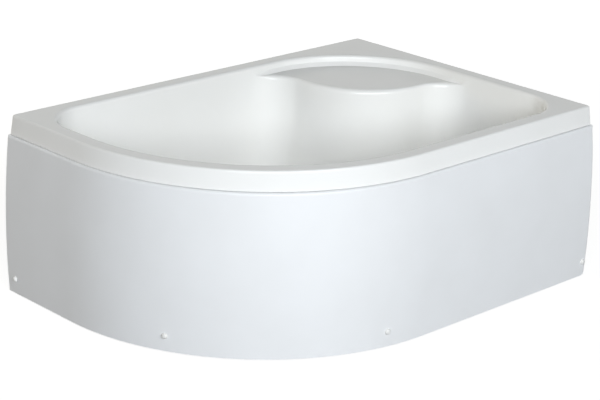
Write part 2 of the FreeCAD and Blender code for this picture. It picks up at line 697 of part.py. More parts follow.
def round_the_front(section, end_gap):
    """Solid that carries a section along the left side, the big corner and the front."""
    left = put(section, left_station(end_gap)).extrude(Vector(0, end_gap - LEFT_RUN, 0))
    bend = put(section, left_station(LEFT_RUN)).revolve(ARC_CENTRE, UP, 90)
    front = put(section, front_station(end_gap)).extrude(Vector(end_gap - FRONT_RUN, 0, 0))
    return left.fuse([bend, front]).removeSplitter()


panel_block = round_the_front(bowed_section(-LIP_INSIDE, panel_bottom, PANEL_TOP, 0), 0)
outer_edges = []
for edge in panel_block.Edges:
    middle = edge.valueAt((edge.FirstParameter + edge.LastParameter) / 2)
    from_arc = math.hypot(min(middle.x - ARC_CENTRE.x, 0), min(middle.y - ARC_CENTRE.y, 0))
    on_face = from_arc > FRONT_RADIUS + PANEL_TOP_PROUD - PANEL_EDGE_ROUND
    at_wall = abs(middle.x) < 1e-3 or abs(middle.y) < 1e-3
    at_top = abs(middle.z - PANEL_TOP) < 1e-3
    upright = abs(edge.Vertexes[0].Z - edge.Vertexes[-1].Z) > PANEL_EDGE_ROUND
    along = abs(edge.Vertexes[0].Z - edge.Vertexes[-1].Z) < 1e-3
    if on_face and ((at_wall and upright) or (at_top and along and not at_wall)):
        outer_edges.append(edge)
panel_block = rounded(panel_block, PANEL_EDGE_ROUND, outer_edges)
hollow = round_the_front(bowed_section(-2 * LIP_INSIDE, 0, sheet_top, PANEL_SHEET), PANEL_SHEET)
front_panel = panel_block.cut(hollow)
lip_section = flat_section(-LIP_INSIDE, PANEL_SHEET - LIP_INSIDE, sheet_top, PANEL_TOP + LIP_RISE)
front_panel = front_panel.fuse(round_the_front(lip_section, LIP_END_GAP)).removeSplitter()


def corner_cutter(radius, depth):
    """What has to go to round a lower corner: local x runs along the edge, z up."""
    square = Part.makeBox(radius, depth, radius)
    middle = Vector(radius, 0, radius)
    return square.cut(Part.makeCylinder(CORNER_SPREAD * radius, depth, middle, Vector(0, 1, 0)))


cut_depth = 2 * (PANEL_BELLY_PROUD + LIP_INSIDE)
right_cut = FreeCAD.Placement(Vector(0, cut_depth / 2 - TRAY_WIDTH, panel_bottom), FreeCAD.Rotation(UP, 180))
left_cut = FreeCAD.Placement(Vector(-cut_depth / 2 - TRAY_LENGTH, 0, panel_bottom), FreeCAD.Rotation(UP, 270))
front_panel = front_panel.cut(put(corner_cutter(PANEL_RIGHT_ROUND, cut_depth), right_cut))
front_panel = front_panel.cut(put(corner_cutter(PANEL_LEFT_ROUND, cut_depth), left_cut))

# Places of the panel's screws: the local x axis is the screw's axis, out of the bowed face
fix_places = {
    "left": (left_station(FRAME_EDGE), FIX_LEFT_SIDE),
    "front_left": (arc_station(FIX_ARC_LOW), 0.0),
    "front_middle": (arc_station(FIX_ARC_HIGH), 0.0),
    "front_right": (front_station(FRAME_EDGE), FIX_RIGHT_SIDE),
}
lean_down = FreeCAD.Rotation(Vector(0, 1, 0), math.degrees(FIX_TILT))
to_axis = FreeCAD.Placement(Vector(0, 0, 0), FreeCAD.Rotation(Vector(0, 1, 0), 90))
screw_axes = {}
for name, (station, side) in fix_places.items():
    spot = FreeCAD.Placement(Vector(proud_at(FIX_HEIGHT), side, FIX_HEIGHT), lean_down)
    screw_axes[name] = station.multiply(spot).multiply(to_axis)

centre_line = Vector(0, 0, 0)
screw_hole = rod(centre_line, SCREW_RADIUS + SCREW_CLEARANCE, -2 * SCREW_REACH, SCREW_REACH)
for axis in screw_axes.values():
    front_panel = front_panel.cut(put(screw_hole, axis))
save("front_panel", front_panel)

# Screws, their plastic bases and the domed caps that snap over them
head_bottom = CAP_SEAT + CAP_BASE_HEIGHT
head_top = head_bottom + SCREW_HEAD_HEIGHT
panel_screw = rod(centre_line, SCREW_RADIUS, -SCREW_REACH, head_bottom)
panel_screw = panel_screw.fuse(rod(centre_line, SCREW_HEAD_RADIUS, head_bottom, head_top))
cap_base = ring(centre_line, CAP_BASE_RADIUS, SCREW_RADIUS + SCREW_CLEARANCE, CAP_SEAT, head_bottom)
cap_profile = [(CAP_RADIUS, CAP_SEAT)]
for flat in range(CAP_FLATS + 1):
    turn = math.radians(90 * flat / CAP_FLATS)
    inwards, upwards = CAP_ROUND * (1 - math.cos(turn)), CAP_ROUND * (1 - math.sin(turn))
    cap_profile.append((CAP_RADIUS - inwards, CAP_HEIGHT - upwards))
cap_profile += [
    (0, CAP_HEIGHT),
    (0, head_top + SCREW_CLEARANCE),
    (SCREW_HEAD_RADIUS + CAP_SKIN, head_top + SCREW_CLEARANCE),
    (SCREW_HEAD_RADIUS + CAP_SKIN, head_bottom + SCREW_CLEARANCE),
    (CAP_RADIUS - CAP_SKIN, head_bottom + SCREW_CLEARANCE),
    (CAP_RADIUS - CAP_SKIN, CAP_SEAT),
]
screw_cap = turned(cap_profile)
save("panel_screws", *[put(panel_screw, axis) for axis in screw_axes.values()])
save("screw_cap_bases", *[put(cap_base, axis) for axis in screw_axes.values()])
save("screw_caps", *[put(screw_cap, axis) for axis in screw_axes.values()])

# Angle brackets: a plate clamped between the nuts of a foot and a tab behind the panel
tab_bottom = FIX_HEIGHT - TAB_REACH
tab_face = proud_at(tab_bottom) - PANEL_SHEET - TAB_GAP
for name, (station, side) in fix_places.items():
    wide = max(BRACKET_HALF_WIDTH, side + BRACKET_EDGE) + BRACKET_HALF_WIDTH
    tail = -FOOT_INSET - BRACKET_TAIL
    flat = Part.makeBox(tab_face - tail, wide, BRACKET_SHEET, Vector(tail, -BRACKET_HALF_WIDTH, PLATE_BOTTOM))
    corner = Vector(tab_face - BRACKET_SHEET, -BRACKET_HALF_WIDTH, tab_bottom)
    tab = Part.makeBox(BRACKET_SHEET, wide, PLATE_TOP - tab_bottom, corner)
    bracket = flat.fuse(tab).removeSplitter()
    stud_hole = rod(Vector(-FOOT_INSET, 0, 0), STUD_RADIUS + STUD_HOLE_EASE, PLATE_BOTTOM, PLATE_TOP)
    bracket = put(bracket.cut(stud_hole), station)
    save("panel_bracket_" + name, bracket.cut(put(screw_hole, screw_axes[name])))

# Plastic clips pushed over the panel's upstand, their thick leg towards the rim's skirt
lip_top = PANEL_TOP + LIP_RISE
lip_front = PANEL_SHEET - LIP_INSIDE
clip_back = -LIP_INSIDE - CLIP_EASE - CLIP_INNER_LEG
clip_front = lip_front + CLIP_EASE + CLIP_OUTER_LEG
clip_bottom = lip_top - CLIP_LEG
clip = Part.makeBox(
    clip_front - clip_back,
    CLIP_WIDTH,
    lip_top + CLIP_EASE + CLIP_BRIDGE - clip_bottom,
    Vector(clip_back, -CLIP_WIDTH / 2, clip_bottom),
)
groove = Part.makeBox(
    PANEL_SHEET + 2 * CLIP_EASE,
    CLIP_WIDTH,
    lip_top + CLIP_EASE - clip_bottom,
    Vector(-LIP_INSIDE - CLIP_EASE, -CLIP_WIDTH / 2, clip_bottom),
)
clip_stations = [
    left_station(LEFT_RUN / 2),
    arc_station(FIX_ARC_LOW),
    arc_station((FIX_ARC_LOW + FIX_ARC_HIGH) / 2),
    arc_station(FIX_ARC_HIGH),
    front_station(FRONT_RUN * 2 / 3),
    front_station(FRONT_RUN / 3),
]
save("panel_clips", *[put(clip.cut(groove), station) for station in clip_stations])

# Waste: a flanged body through the tray, its two gaskets and the nut that clamps it
at_drain = FreeCAD.Placement(DRAIN, FreeCAD.Rotation())
flange_bottom = recess_floor + GASKET_SHEET
waste_body = turned(
    [
        (TAIL_BORE, TAIL_END),
        (TAIL_RADIUS, TAIL_END),
        (TAIL_RADIUS, flange_bottom),
        (FLANGE_RADIUS, flange_bottom),
        (FLANGE_RADIUS, FLOOR_TOP),
        (FLANGE_DISH_RADIUS, FLOOR_TOP),
        (TAIL_BORE, flange_bottom),
    ]
)
strainer_top = STRAINER_BOTTOM + STRAINER_SHEET
strainer_reach = (TAIL_BORE + TAIL_RADIUS) / 2
socket_bore = STEM_RADIUS + STEM_EASE
socket_radius = socket_bore + SOCKET_WALL
strainer = turned(
    [
        (0, SOCKET_FLOOR - SOCKET_WALL),
        (socket_radius, SOCKET_FLOOR - SOCKET_WALL),
        (socket_radius, STRAINER_BOTTOM),
        (strainer_reach, STRAINER_BOTTOM),
        (strainer_reach, strainer_top),
        (socket_bore, strainer_top),
        (socket_bore, SOCKET_FLOOR),
        (0, SOCKET_FLOOR),
    ]
)
for share, count in STRAINER_RINGS.items():
    turns = [hole * 2 * math.pi / count for hole in range(count)]
    holes = [Vector(math.cos(turn), math.sin(turn), 0) * share * TAIL_BORE for turn in turns]
    strainer = drilled(strainer, holes, STRAINER_HOLE_RADIUS, STRAINER_BOTTOM, strainer_top)
save("waste_body", put(waste_body.fuse(strainer).removeSplitter(), at_drain))

tail_clear = TAIL_RADIUS + TAIL_EASE
lower_gasket_bottom = recess_underside - LOWER_GASKET
back_nut_bottom = lower_gasket_bottom - BACK_NUT_HEIGHT
gasket_radius = BACK_NUT_FLATS / 2
save("waste_gasket_upper", ring(DRAIN, FLANGE_RADIUS - TAIL_EASE, tail_clear, recess_floor, flange_bottom))
save("waste_gasket_lower", ring(DRAIN, gasket_radius, tail_clear, lower_gasket_bottom, recess_underside))
save(
    "waste_back_nut",
    hexagon(DRAIN, BACK_NUT_FLATS, TAIL_RADIUS + THREAD_EASE, back_nut_bottom, lower_gasket_bottom),
)

# Union nut and washer that join the trap to the waste
collar_top = TAIL_END - TRAP_WASHER
collar_bottom = collar_top - COLLAR_EASE - COLLAR_HEIGHT
shoulder_top = collar_bottom - COLLAR_EASE
union_bottom = shoulder_top - UNION_SHOULDER
union_top = TAIL_END + UNION_ABOVE
union_nut = turned(
    [
        (INLET_RADIUS + TAIL_EASE, union_bottom),
        (UNION_RADIUS, union_bottom),
        (UNION_RADIUS, union_top),
        (TAIL_RADIUS + THREAD_EASE, union_top),
        (TAIL_RADIUS + THREAD_EASE, collar_top),
        (TAIL_RADIUS + TAIL_EASE, collar_top),
        (TAIL_RADIUS + TAIL_EASE, shoulder_top),
        (INLET_RADIUS + TAIL_EASE, shoulder_top),
    ]
)
for rib in range(UNION_RIBS):
    turn = rib * 2 * math.pi / UNION_RIBS
    grip = Vector(UNION_RADIUS * math.cos(turn), UNION_RADIUS * math.sin(turn), 0)
    union_nut = union_nut.fuse(rod(grip, UNION_RIB_RADIUS, union_bottom, union_top))
save("union_nut", put(union_nut.removeSplitter(), at_drain))
save("trap_washer", ring(DRAIN, COLLAR_RADIUS, INLET_BORE, collar_top, TAIL_END))

# Bottle trap: inlet with its collar and dip tube, bottle and outlet spigot in one moulding
bottle_bore = BOTTLE_RADIUS - BOTTLE_WALL
bottle_ceiling = BOTTLE_TOP - BOTTLE_WALL
trap_body = turned(
    [
        (INLET_BORE, DIP_END),
        (INLET_RADIUS, DIP_END),
        (INLET_RADIUS, bottle_ceiling),
        (bottle_bore, bottle_ceiling),
        (bottle_bore, BOTTLE_END),
        (BOTTLE_RADIUS, BOTTLE_END),
        (BOTTLE_RADIUS, BOTTLE_TOP),
        (INLET_RADIUS, BOTTLE_TOP),
        (INLET_RADIUS, collar_bottom),
        (COLLAR_RADIUS, collar_bottom),
        (COLLAR_RADIUS, collar_top - COLLAR_EASE),
        (INLET_BORE, collar_top - COLLAR_EASE),
    ]
)
spigot_start = Vector(0, (bottle_bore + BOTTLE_RADIUS) / 2 - BOTTLE_WALL, SPIGOT_HEIGHT)
spigot_run = SPIGOT_REACH - spigot_start.y
back = Vector(0, 1, 0)
spigot = Part.makeCylinder(SPIGOT_RADIUS, spigot_run, spigot_start, back)
spigot = spigot.fuse(Part.makeCylinder(SPIGOT_COLLAR, SPIGOT_COLLAR_END - spigot_start.y, spigot_start, back))
spigot = spigot.cut(rod(centre_line, bottle_bore, BOTTLE_END, BOTTLE_TOP))
way_start = Vector(0, INLET_RADIUS, SPIGOT_HEIGHT)
way_out = Part.makeCylinder(SPIGOT_RADIUS - SPIGOT_WALL, SPIGOT_REACH, way_start, back)
way_out = way_out.cut(rod(centre_line, INLET_RADIUS + BOTTLE_WALL, DIP_END, BOTTLE_TOP))
trap_body = trap_body.fuse(spigot).cut(way_out).removeSplitter()
save("trap_body", put(trap_body, at_drain))

# Cup that unscrews from the bottle for cleaning, and its seal
cup_bore = BOTTLE_RADIUS + CUP_EASE
trap_cup = turned(
    [
        (0, CUP_BOTTOM),
        (CUP_RADIUS, CUP_BOTTOM),
        (CUP_RADIUS, CUP_TOP),
        (cup_bore, CUP_TOP),
        (cup_bore, CUP_FLOOR),
        (0, CUP_FLOOR),
    ]
)
save("trap_cup", put(trap_cup, at_drain))
save("cup_seal", ring(DRAIN, BOTTLE_RADIUS, CUP_SEAL_BORE, CUP_FLOOR, BOTTLE_END - COLLAR_EASE))

# Pop-up plug, drawn open
plug_bottom = FLOOR_TOP + PLUG_REST_GAP + PLUG_LIFT
plug_top = plug_bottom + PLUG_SHEET
plug_cap = rod(DRAIN, PLUG_RADIUS, plug_bottom, plug_top)
save("plug_cap", rounded(plug_cap, PLUG_SHEET / 2, edges_at(plug_cap, plug_top)))
seal_bottom = plug_bottom - PLUG_SEAL
save("plug_seal", ring(DRAIN, PLUG_SEAL_RADIUS, STEM_RADIUS + STEM_EASE, seal_bottom, plug_bottom))
save("plug_stem", rod(DRAIN, STEM_RADIUS, STEM_END, plug_bottom))
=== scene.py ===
import math

import bpy
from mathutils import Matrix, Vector
from mathutils.geometry import delaunay_2d_cdt


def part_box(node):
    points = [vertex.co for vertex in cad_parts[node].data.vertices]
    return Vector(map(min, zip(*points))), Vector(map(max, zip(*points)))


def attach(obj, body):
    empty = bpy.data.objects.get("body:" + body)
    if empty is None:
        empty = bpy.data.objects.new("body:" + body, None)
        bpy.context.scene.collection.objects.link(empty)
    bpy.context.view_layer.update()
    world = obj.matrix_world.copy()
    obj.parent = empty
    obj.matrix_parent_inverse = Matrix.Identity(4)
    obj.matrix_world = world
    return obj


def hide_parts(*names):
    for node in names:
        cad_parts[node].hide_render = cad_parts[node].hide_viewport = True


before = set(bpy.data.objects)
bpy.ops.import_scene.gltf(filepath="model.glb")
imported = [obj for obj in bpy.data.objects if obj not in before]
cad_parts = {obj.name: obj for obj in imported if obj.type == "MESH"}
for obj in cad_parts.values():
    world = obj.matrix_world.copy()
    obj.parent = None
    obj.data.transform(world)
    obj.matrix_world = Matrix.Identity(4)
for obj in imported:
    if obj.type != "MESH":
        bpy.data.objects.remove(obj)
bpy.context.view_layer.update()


# Tray moulding: one sheet of white sanitary acrylic, vacuum formed into rim, skirt, basin and corner
# seat, with glass fibre and resin sprayed on its back. It rests on the posts of the steel frame and
# is sealed to the two walls.
TRAY_LENGTH = 1.200
TRAY_WIDTH = 0.850
FRONT_RADIUS = 0.580
CORNER_RADIUS = 0.008
RIM_WIDTH = 0.045
RIM_ROUND = 0.005
LIP_ROUND = 0.010
SKIRT_HEIGHT = 0.048
SKIRT_FLARE = 0.008
SHELL_WALL = 0.0045
FLOOR_TOP = 0.150
BASIN_LEAN = 0.028
FLOOR_ROUND = 0.045
OPENING_RADIUS = 0.122
SEAT_DROP = 0.027
SEAT_LENGTH = 0.316
SEAT_WIDTH = 0.338
SEAT_BACK_RADIUS = 0.315
SEAT_NOSE_RADIUS = 0.213
SEAT_COVE_RADIUS = 0.101
SEAT_EDGE_ROUND = 0.012
SEAT_BACK_FLAT = 0.010
SEAT_FADE = 0.008  # seat depth over which its ends run out into the walls
RECESS_RADIUS = 0.038
RECESS_DEPTH = 0.0055
RECESS_ROUND = 0.0012
WASTE_HOLE = 0.024
HOLD = 0.002  # rows this close to a bend keep the flats flat
NARROW_SHARE = 0.42  # most of a narrow seat end that its flat or its rounded edge takes
SEAT_ROWS = (0.03, 0.5, 0.97)  # rows of the mesh along the seat, as shares of its depth
WALL_ROWS = (0.03, 0.3, 0.6, 0.97)  # and down the basin wall, as shares of its height
TRAY_DARK = (0.945, 0.943, 0.92)
TRAY_LIGHT = (0.965, 0.963, 0.945)
TRAY_GLOSS = 0.16
TRAY_CREASE = 40  # degrees

wall_corner = Vector(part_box("tray_shell")[1])
rim_top = wall_corner.z
seat_top = rim_top - SEAT_DROP
left_edge = RIM_WIDTH - TRAY_LENGTH
front_edge = RIM_WIDTH - TRAY_WIDTH
seat_side = -RIM_WIDTH - SEAT_LENGTH
seat_front = -RIM_WIDTH - SEAT_WIDTH

# Outlines in plan from the corner of the two walls, as corners with their rounding, and for each
# corner the number of points round it and along the side after it
RIM_OUTLINE = [
    (-TRAY_LENGTH, 0, CORNER_RADIUS),
    (0, 0, CORNER_RADIUS),
    (0, -TRAY_WIDTH, CORNER_RADIUS),
    (-TRAY_LENGTH, -TRAY_WIDTH, FRONT_RADIUS),
]
RIM_POINTS = [(10, 16), (10, 12), (10, 10), (96, 6)]
OPENING_OUTLINE = [
    (left_edge, -RIM_WIDTH, OPENING_RADIUS),
    (-RIM_WIDTH, -RIM_WIDTH, SEAT_BACK_RADIUS),
    (-RIM_WIDTH, front_edge, OPENING_RADIUS),
    (left_edge, front_edge, FRONT_RADIUS - RIM_WIDTH),
]
OPENING_POINTS = [(1, 1), (64, 1), (1, 1), (1, 1)]
BASIN_OUTLINE = [
    (left_edge, -RIM_WIDTH, OPENING_RADIUS),
    (seat_side, -RIM_WIDTH, SEAT_COVE_RADIUS),
    (seat_side, seat_front, SEAT_NOSE_RADIUS),
    (-RIM_WIDTH, seat_front, SEAT_COVE_RADIUS),
    (-RIM_WIDTH, front_edge, OPENING_RADIUS),
    (left_edge, front_edge, FRONT_RADIUS - RIM_WIDTH),
]
BASIN_POINTS = [(26, 30), (26, 8), (36, 8), (26, 14), (26, 24), (96, 8)]


def inset(corners, steps):
    """Outline with its sides moved inwards, each by its own step."""
    if not isinstance(steps, list):
        steps = [steps] * len(corners)
    sides = []
    for index, step in enumerate(steps):
        start = Vector(corners[index][:2])
        along = (Vector(corners[(index + 1) % len(corners)][:2]) - start).normalized()
        sides.append((start + Vector((along.y, -along.x)) * step, along))
    moved = []
    for index, corner in enumerate(corners):
        (start, along), (other, turned) = sides[index - 1], sides[index]
        bend = along.cross(turned)
        meet = start + along * ((other - start).cross(turned) / bend)
        step = max(steps[index], steps[index - 1])
        moved.append((meet.x, meet.y, corner[2] - step if bend < 0 else corner[2] + step))
    return moved


def trace(corners, counts):
    """Points along a rounded outline, the same number on every inset of it."""
    bends = []
    for index, (x, y, radius) in enumerate(corners):
        tip = Vector((x, y))
        back = (Vector(corners[index - 1][:2]) - tip).normalized()
        ahead = (Vector(corners[(index + 1) % len(corners)][:2]) - tip).normalized()
        half = back.angle(ahead) / 2
        middle = tip + (back + ahead).normalized() * radius / math.sin(half)
        run = radius / math.tan(half)
        sweep = math.pi - 2 * half
        turn = sweep if back.cross(ahead) < 0 else -sweep
        bends.append((middle, tip + back * run - middle, turn, tip + ahead * run, tip + back * run))
    points = []
    for index, (round_steps, side_steps) in enumerate(counts):
        middle, arm, turn, end, _ = bends[index]
        for step in range(round_steps):
            angle = turn * step / round_steps
            swung = Vector((
                arm.x * math.cos(angle) - arm.y * math.sin(angle),
                arm.x * math.sin(angle) + arm.y * math.cos(angle),
            ))
            points.append(middle + swung)
        following = bends[(index + 1) % len(bends)][4]
        points += [end.lerp(following, step / side_steps) for step in range(side_steps)]
    return points


def shares(points):
    """How far along a line each of its points lies, from 0 to 1."""
    run = [0.0]
    for before, after in zip(points, points[1:]):
        run.append(run[-1] + (after - before).length)
    return [length / run[-1] for length in run]


def spread(points, wanted):
    """Points at given shares of a line's length."""
    marks = shares(points)
    found, index = [], 0
    for share in wanted:
        while index < len(points) - 2 and marks[index + 1] < share:
            index += 1
        part = (share - marks[index]) / (marks[index + 1] - marks[index])
        found.append(points[index].lerp(points[index + 1], min(max(part, 0.0), 1.0)))
    return found


def well_loop(step):
    """Basin wall in plan, with the seat front."""
    return trace(inset(BASIN_OUTLINE, step), BASIN_POINTS)


seat_start = sum(BASIN_POINTS[0])
seat_end = seat_start + sum(BASIN_POINTS[1]) + sum(BASIN_POINTS[2]) + BASIN_POINTS[3][0]
back_start = sum(OPENING_POINTS[0])
back_end = back_start + OPENING_POINTS[1][0] + 1


def open_loop(step):
    """Opening in plan, with the seat's back in place of its front."""
    loop = well_loop(step)
    front = loop[seat_start:seat_end + 1]
    arc = trace(inset(OPENING_OUTLINE, step), OPENING_POINTS)[back_start:back_end]
    loop[seat_start:seat_end + 1] = spread([front[0]] + arc + [front[-1]], shares(front))
    return loop


def level(loop, height):
    """Row of the moulding at one height."""
    return [Vector((wall_corner.x + point.x, wall_corner.y + point.y, height)) for point in loop]


def bend_steps(count, start=0.0, end=math.pi / 2):
    """Angles through a rounding."""
    return [start + (end - start) * step / count for step in range(count + 1)]


# Skirt and outer edge of the rim, from the skirt's lower edge up and in
outer_rows = []
skirt_heights = [SKIRT_HEIGHT, SKIRT_HEIGHT - HOLD, SKIRT_HEIGHT / 2, RIM_ROUND + HOLD]
edge_profile = [(0.0, drop) for drop in skirt_heights]
edge_profile += [
    (RIM_ROUND * (1 - math.cos(angle)), RIM_ROUND * (1 - math.sin(angle))) for angle in bend_steps(7)
]
edge_profile.append((RIM_ROUND + HOLD, 0.0))
for step, drop in edge_profile:
    flare = SKIRT_FLARE * drop / SKIRT_HEIGHT
    outline = inset(RIM_OUTLINE, [step, step, step - flare, step - flare])
    outer_rows.append(level(trace(outline, RIM_POINTS), rim_top - drop))

# Lip of the opening
slope = BASIN_LEAN / (rim_top - FLOOR_TOP)
tilt = math.atan(slope)
lip_run = LIP_ROUND * math.tan((math.pi / 2 - tilt) / 2)
inner_rows = [level(open_loop(-lip_run - HOLD), rim_top)]
for angle in bend_steps(8, end=math.pi / 2 - tilt):
    height = rim_top - LIP_ROUND * (1 - math.cos(angle))
    inner_rows.append(level(open_loop(LIP_ROUND * math.sin(angle) - lip_run), height))
lip_end = rim_top - LIP_ROUND * (1 - math.sin(tilt))

# Seat: down its back, over the sloping flat at its foot, along the seat and round its front edge.
# Where there is no seat, the same rows run straight down the wall.
FLAT_STEPS = [(1.2, 0.0), (1.0, 0.0), (0.85, 0.15), (0.15, 0.85), (0.0, 1.0)]  # shares of the flat
back_top, back_foot = open_loop(0.0), open_loop(slope * SEAT_DROP)
wall_top, wall_foot = well_loop(0.0), well_loop(BASIN_LEAN)


def on_back(index, height):
    """Point on the seat's back at one height, in plan."""
    share = (rim_top - height) / SEAT_DROP
    return back_top[index].lerp(back_foot[index], share)


def on_wall(index, height):
    """Point on the basin wall at one height, in plan."""
    share = (rim_top - height) / (rim_top - FLOOR_TOP)
    return wall_top[index].lerp(wall_foot[index], share)


def seat_profile(index):
    """Points from the foot of the seat's back to below its front edge, with their heights."""
    start, end = back_foot[index], on_wall(index, seat_top)
    depth = (end - start).length
    ahead = (end - start).normalized()
    flat = min(SEAT_BACK_FLAT, NARROW_SHARE * depth)
    edge = min(SEAT_EDGE_ROUND, NARROW_SHARE * depth)
    points = []
    for rise, run in FLAT_STEPS:
        height = seat_top + flat * rise
        points.append((on_back(index, height) + ahead * flat * run, height))
    for share in SEAT_ROWS:
        points.append((start + ahead * (flat + (depth - flat - edge) * share), seat_top))
    for angle in bend_steps(8):
        height = seat_top - edge * (1 - math.cos(angle))
        points.append((on_wall(index, height) - ahead * edge * (1 - math.sin(angle)), height))
    return points


wall_start = seat_top - SEAT_EDGE_ROUND
row_count = len(seat_profile(seat_start + 1))
seat_rows = [[] for _ in range(row_count)]
for index in range(len(wall_top)):
    depth = (on_wall(index, seat_top) - back_foot[index]).length
    share = min(depth / SEAT_FADE, 1.0)
    share = share * share * (3 - 2 * share)
    profile = seat_profile(index) if share > 0 else [None] * row_count
    for row, spot in enumerate(profile):
        height = lip_end + (wall_start - lip_end) * (row + 1) / row_count
        plain = level([on_wall(index, height)], height)[0]
        if spot:
            plain = plain.lerp(level([spot[0]], spot[1])[0], share)
        seat_rows[row].append(plain)
inner_rows += seat_rows

# Basin wall, the cove at its foot and the edge of the standing surface
cove_run = FLOOR_ROUND * math.tan((math.pi / 2 - tilt) / 2)
cove_start = FLOOR_TOP + FLOOR_ROUND * (1 - math.sin(tilt))
for share in WALL_ROWS:
    height = wall_start + (cove_start - wall_start) * share
    inner_rows.append(level([on_wall(index, height) for index in range(len(wall_top))], height))
for angle in bend_steps(12, start=tilt):
    step = BASIN_LEAN + cove_run - FLOOR_ROUND * math.cos(angle)
    inner_rows.append(level(well_loop(step), FLOOR_TOP + FLOOR_ROUND * (1 - math.sin(angle))))
inner_rows.append(level(well_loop(BASIN_LEAN + cove_run + HOLD), FLOOR_TOP))

# Recess for the waste
waste_low, waste_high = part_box("waste_body")
drain = Vector(((waste_low[0] + waste_high[0]) / 2, (waste_low[1] + waste_high[1]) / 2, FLOOR_TOP))
recess_profile = [(RECESS_RADIUS + RECESS_ROUND + HOLD, 0.0)]
recess_profile += [
    (RECESS_RADIUS + RECESS_ROUND * (1 - math.sin(angle)), RECESS_ROUND * (1 - math.cos(angle)))
    for angle in bend_steps(3)
]
recess_profile += [
    (RECESS_RADIUS, RECESS_DEPTH - RECESS_ROUND),
    (RECESS_RADIUS - RECESS_ROUND, RECESS_DEPTH),
    (WASTE_HOLE, RECESS_DEPTH),
]
RECESS_POINTS = 64
drain_rows = []
for radius, drop in recess_profile:
    turns = [-2 * math.pi * step / RECESS_POINTS for step in range(RECESS_POINTS)]
    drain_rows.append([
        drain + Vector((radius * math.cos(turn), radius * math.sin(turn), -drop)) for turn in turns
    ])

vertices, faces = [], []


def add_rows(rows):
    """Band of faces between rows that run clockwise and inwards. Returns its first and last row."""
    first = len(vertices)
    width = len(rows[0])
    for row in rows:
        vertices.extend(row)
    for row in range(len(rows) - 1):
        low = first + row * width
        for step in range(width):
            after = (step + 1) % width
            faces.append((low + step, low + width + step, low + width + after, low + after))
    return range(first, first + width), range(len(vertices) - width, len(vertices))


def fill_between(outer, inner):
    """Level faces between two closed rows."""
    numbers = list(outer) + list(inner)
    edges = []
    for first, count in ((0, len(outer)), (len(outer), len(inner))):
        edges += [(first + step, first + (step + 1) % count) for step in range(count)]
    spots = [vertices[number].to_2d() for number in numbers]
    _, _, triangles, sources, _, _ = delaunay_2d_cdt(spots, edges, [], 1, 1e-7)
    for triangle in triangles:
        corners = [numbers[sources[corner][0]] for corner in triangle]
        if not all(corner in inner for corner in corners):
            faces.append(corners)


_, rim_edge = add_rows(outer_rows)
lip_edge, floor_edge = add_rows(inner_rows)
recess_edge, _ = add_rows(drain_rows)
fill_between(rim_edge, lip_edge)
fill_between(floor_edge, recess_edge)


def new_piece(name, vertices, faces, edges=()):
    """Mesh object at the origin, with its place in its mesh."""
    mesh = bpy.data.meshes.new(name)
    mesh.from_pydata(vertices, edges, faces)
    piece = bpy.data.objects.new(name, mesh)
    bpy.context.scene.collection.objects.link(piece)
    return piece


def set_in_mesh(piece):
    """Turn a piece's modifiers into plain mesh."""
    evaluated = piece.evaluated_get(bpy.context.evaluated_depsgraph_get())
    mesh = bpy.data.meshes.new_from_object(evaluated)
    piece.modifiers.clear()
    piece.data = mesh
    piece.data.name = piece.name


def shade_soft(piece, crease):
    """Smooth shading that breaks at edges sharper than a crease."""
    piece.data.shade_smooth()
    piece.data.set_sharp_from_angle(angle=math.radians(crease))


def new_finish(name):
    """Material with its shader and the object's own coordinates."""
    material = bpy.data.materials.new(name)
    material.use_nodes = True
    tree = material.node_tree
    place = tree.nodes.new("ShaderNodeTexCoord").outputs["Object"]
    return material, tree, tree.nodes["Principled BSDF"], place


def cloud(tree, place, scale, detail=3.0):
    """Soft noise, with its feature size as a scale per metre."""
    noise = tree.nodes.new("ShaderNodeTexNoise")
    noise.inputs["Scale"].default_value = scale
    noise.inputs["Detail"].default_value = detail
    tree.links.new(place, noise.inputs["Vector"])
    return noise.outputs["Fac"]


def tint(tree, factor, dark, light, low=0.3, high=0.7):
    """Colour between two tones, driven by a pattern."""
    ramp = tree.nodes.new("ShaderNodeValToRGB")
    ramp.color_ramp.elements[0].position = low
    ramp.color_ramp.elements[0].color = (*dark, 1)
    ramp.color_ramp.elements[1].position = high
    ramp.color_ramp.elements[1].color = (*light, 1)
    tree.links.new(factor, ramp.inputs["Fac"])
    return ramp.outputs["Color"]


def between(tree, factor, low, high):
    """Number between two levels, driven by a pattern."""
    span = tree.nodes.new("ShaderNodeMapRange")
    span.inputs["From Min"].default_value = 0.25
    span.inputs["From Max"].default_value = 0.75
    span.inputs["To Min"].default_value = low
    span.inputs["To Max"].default_value = high
    tree.links.new(factor, span.inputs["Value"])
    return span.outputs["Result"]


def relief(tree, shader, height, depth, strength=1.0):
    """Bump on a shader, with its depth in metres."""
    bump = tree.nodes.new("ShaderNodeBump")
    bump.inputs["Strength"].default_value = strength
    bump.inputs["Distance"].default_value = depth
    tree.links.new(height, bump.inputs["Height"])
    tree.links.new(bump.outputs["Normal"], shader.inputs["Normal"])


def acrylic(name, dark, light, gloss):
    """Sanitary acrylic: faint cloudiness, a trace of orange peel and uneven polish."""
    material, tree, shader, place = new_finish(name)
    tree.links.new(tint(tree, cloud(tree, place, 5.0), dark, light), shader.inputs["Base Color"])
    polish = between(tree, cloud(tree, place, 9.0, 2.0), gloss, gloss + 0.05)
    tree.links.new(polish, shader.inputs["Roughness"])
    shader.inputs["IOR"].default_value = 1.49
    relief(tree, shader, cloud(tree, place, 130.0, 2.0), 0.00006)
    return material


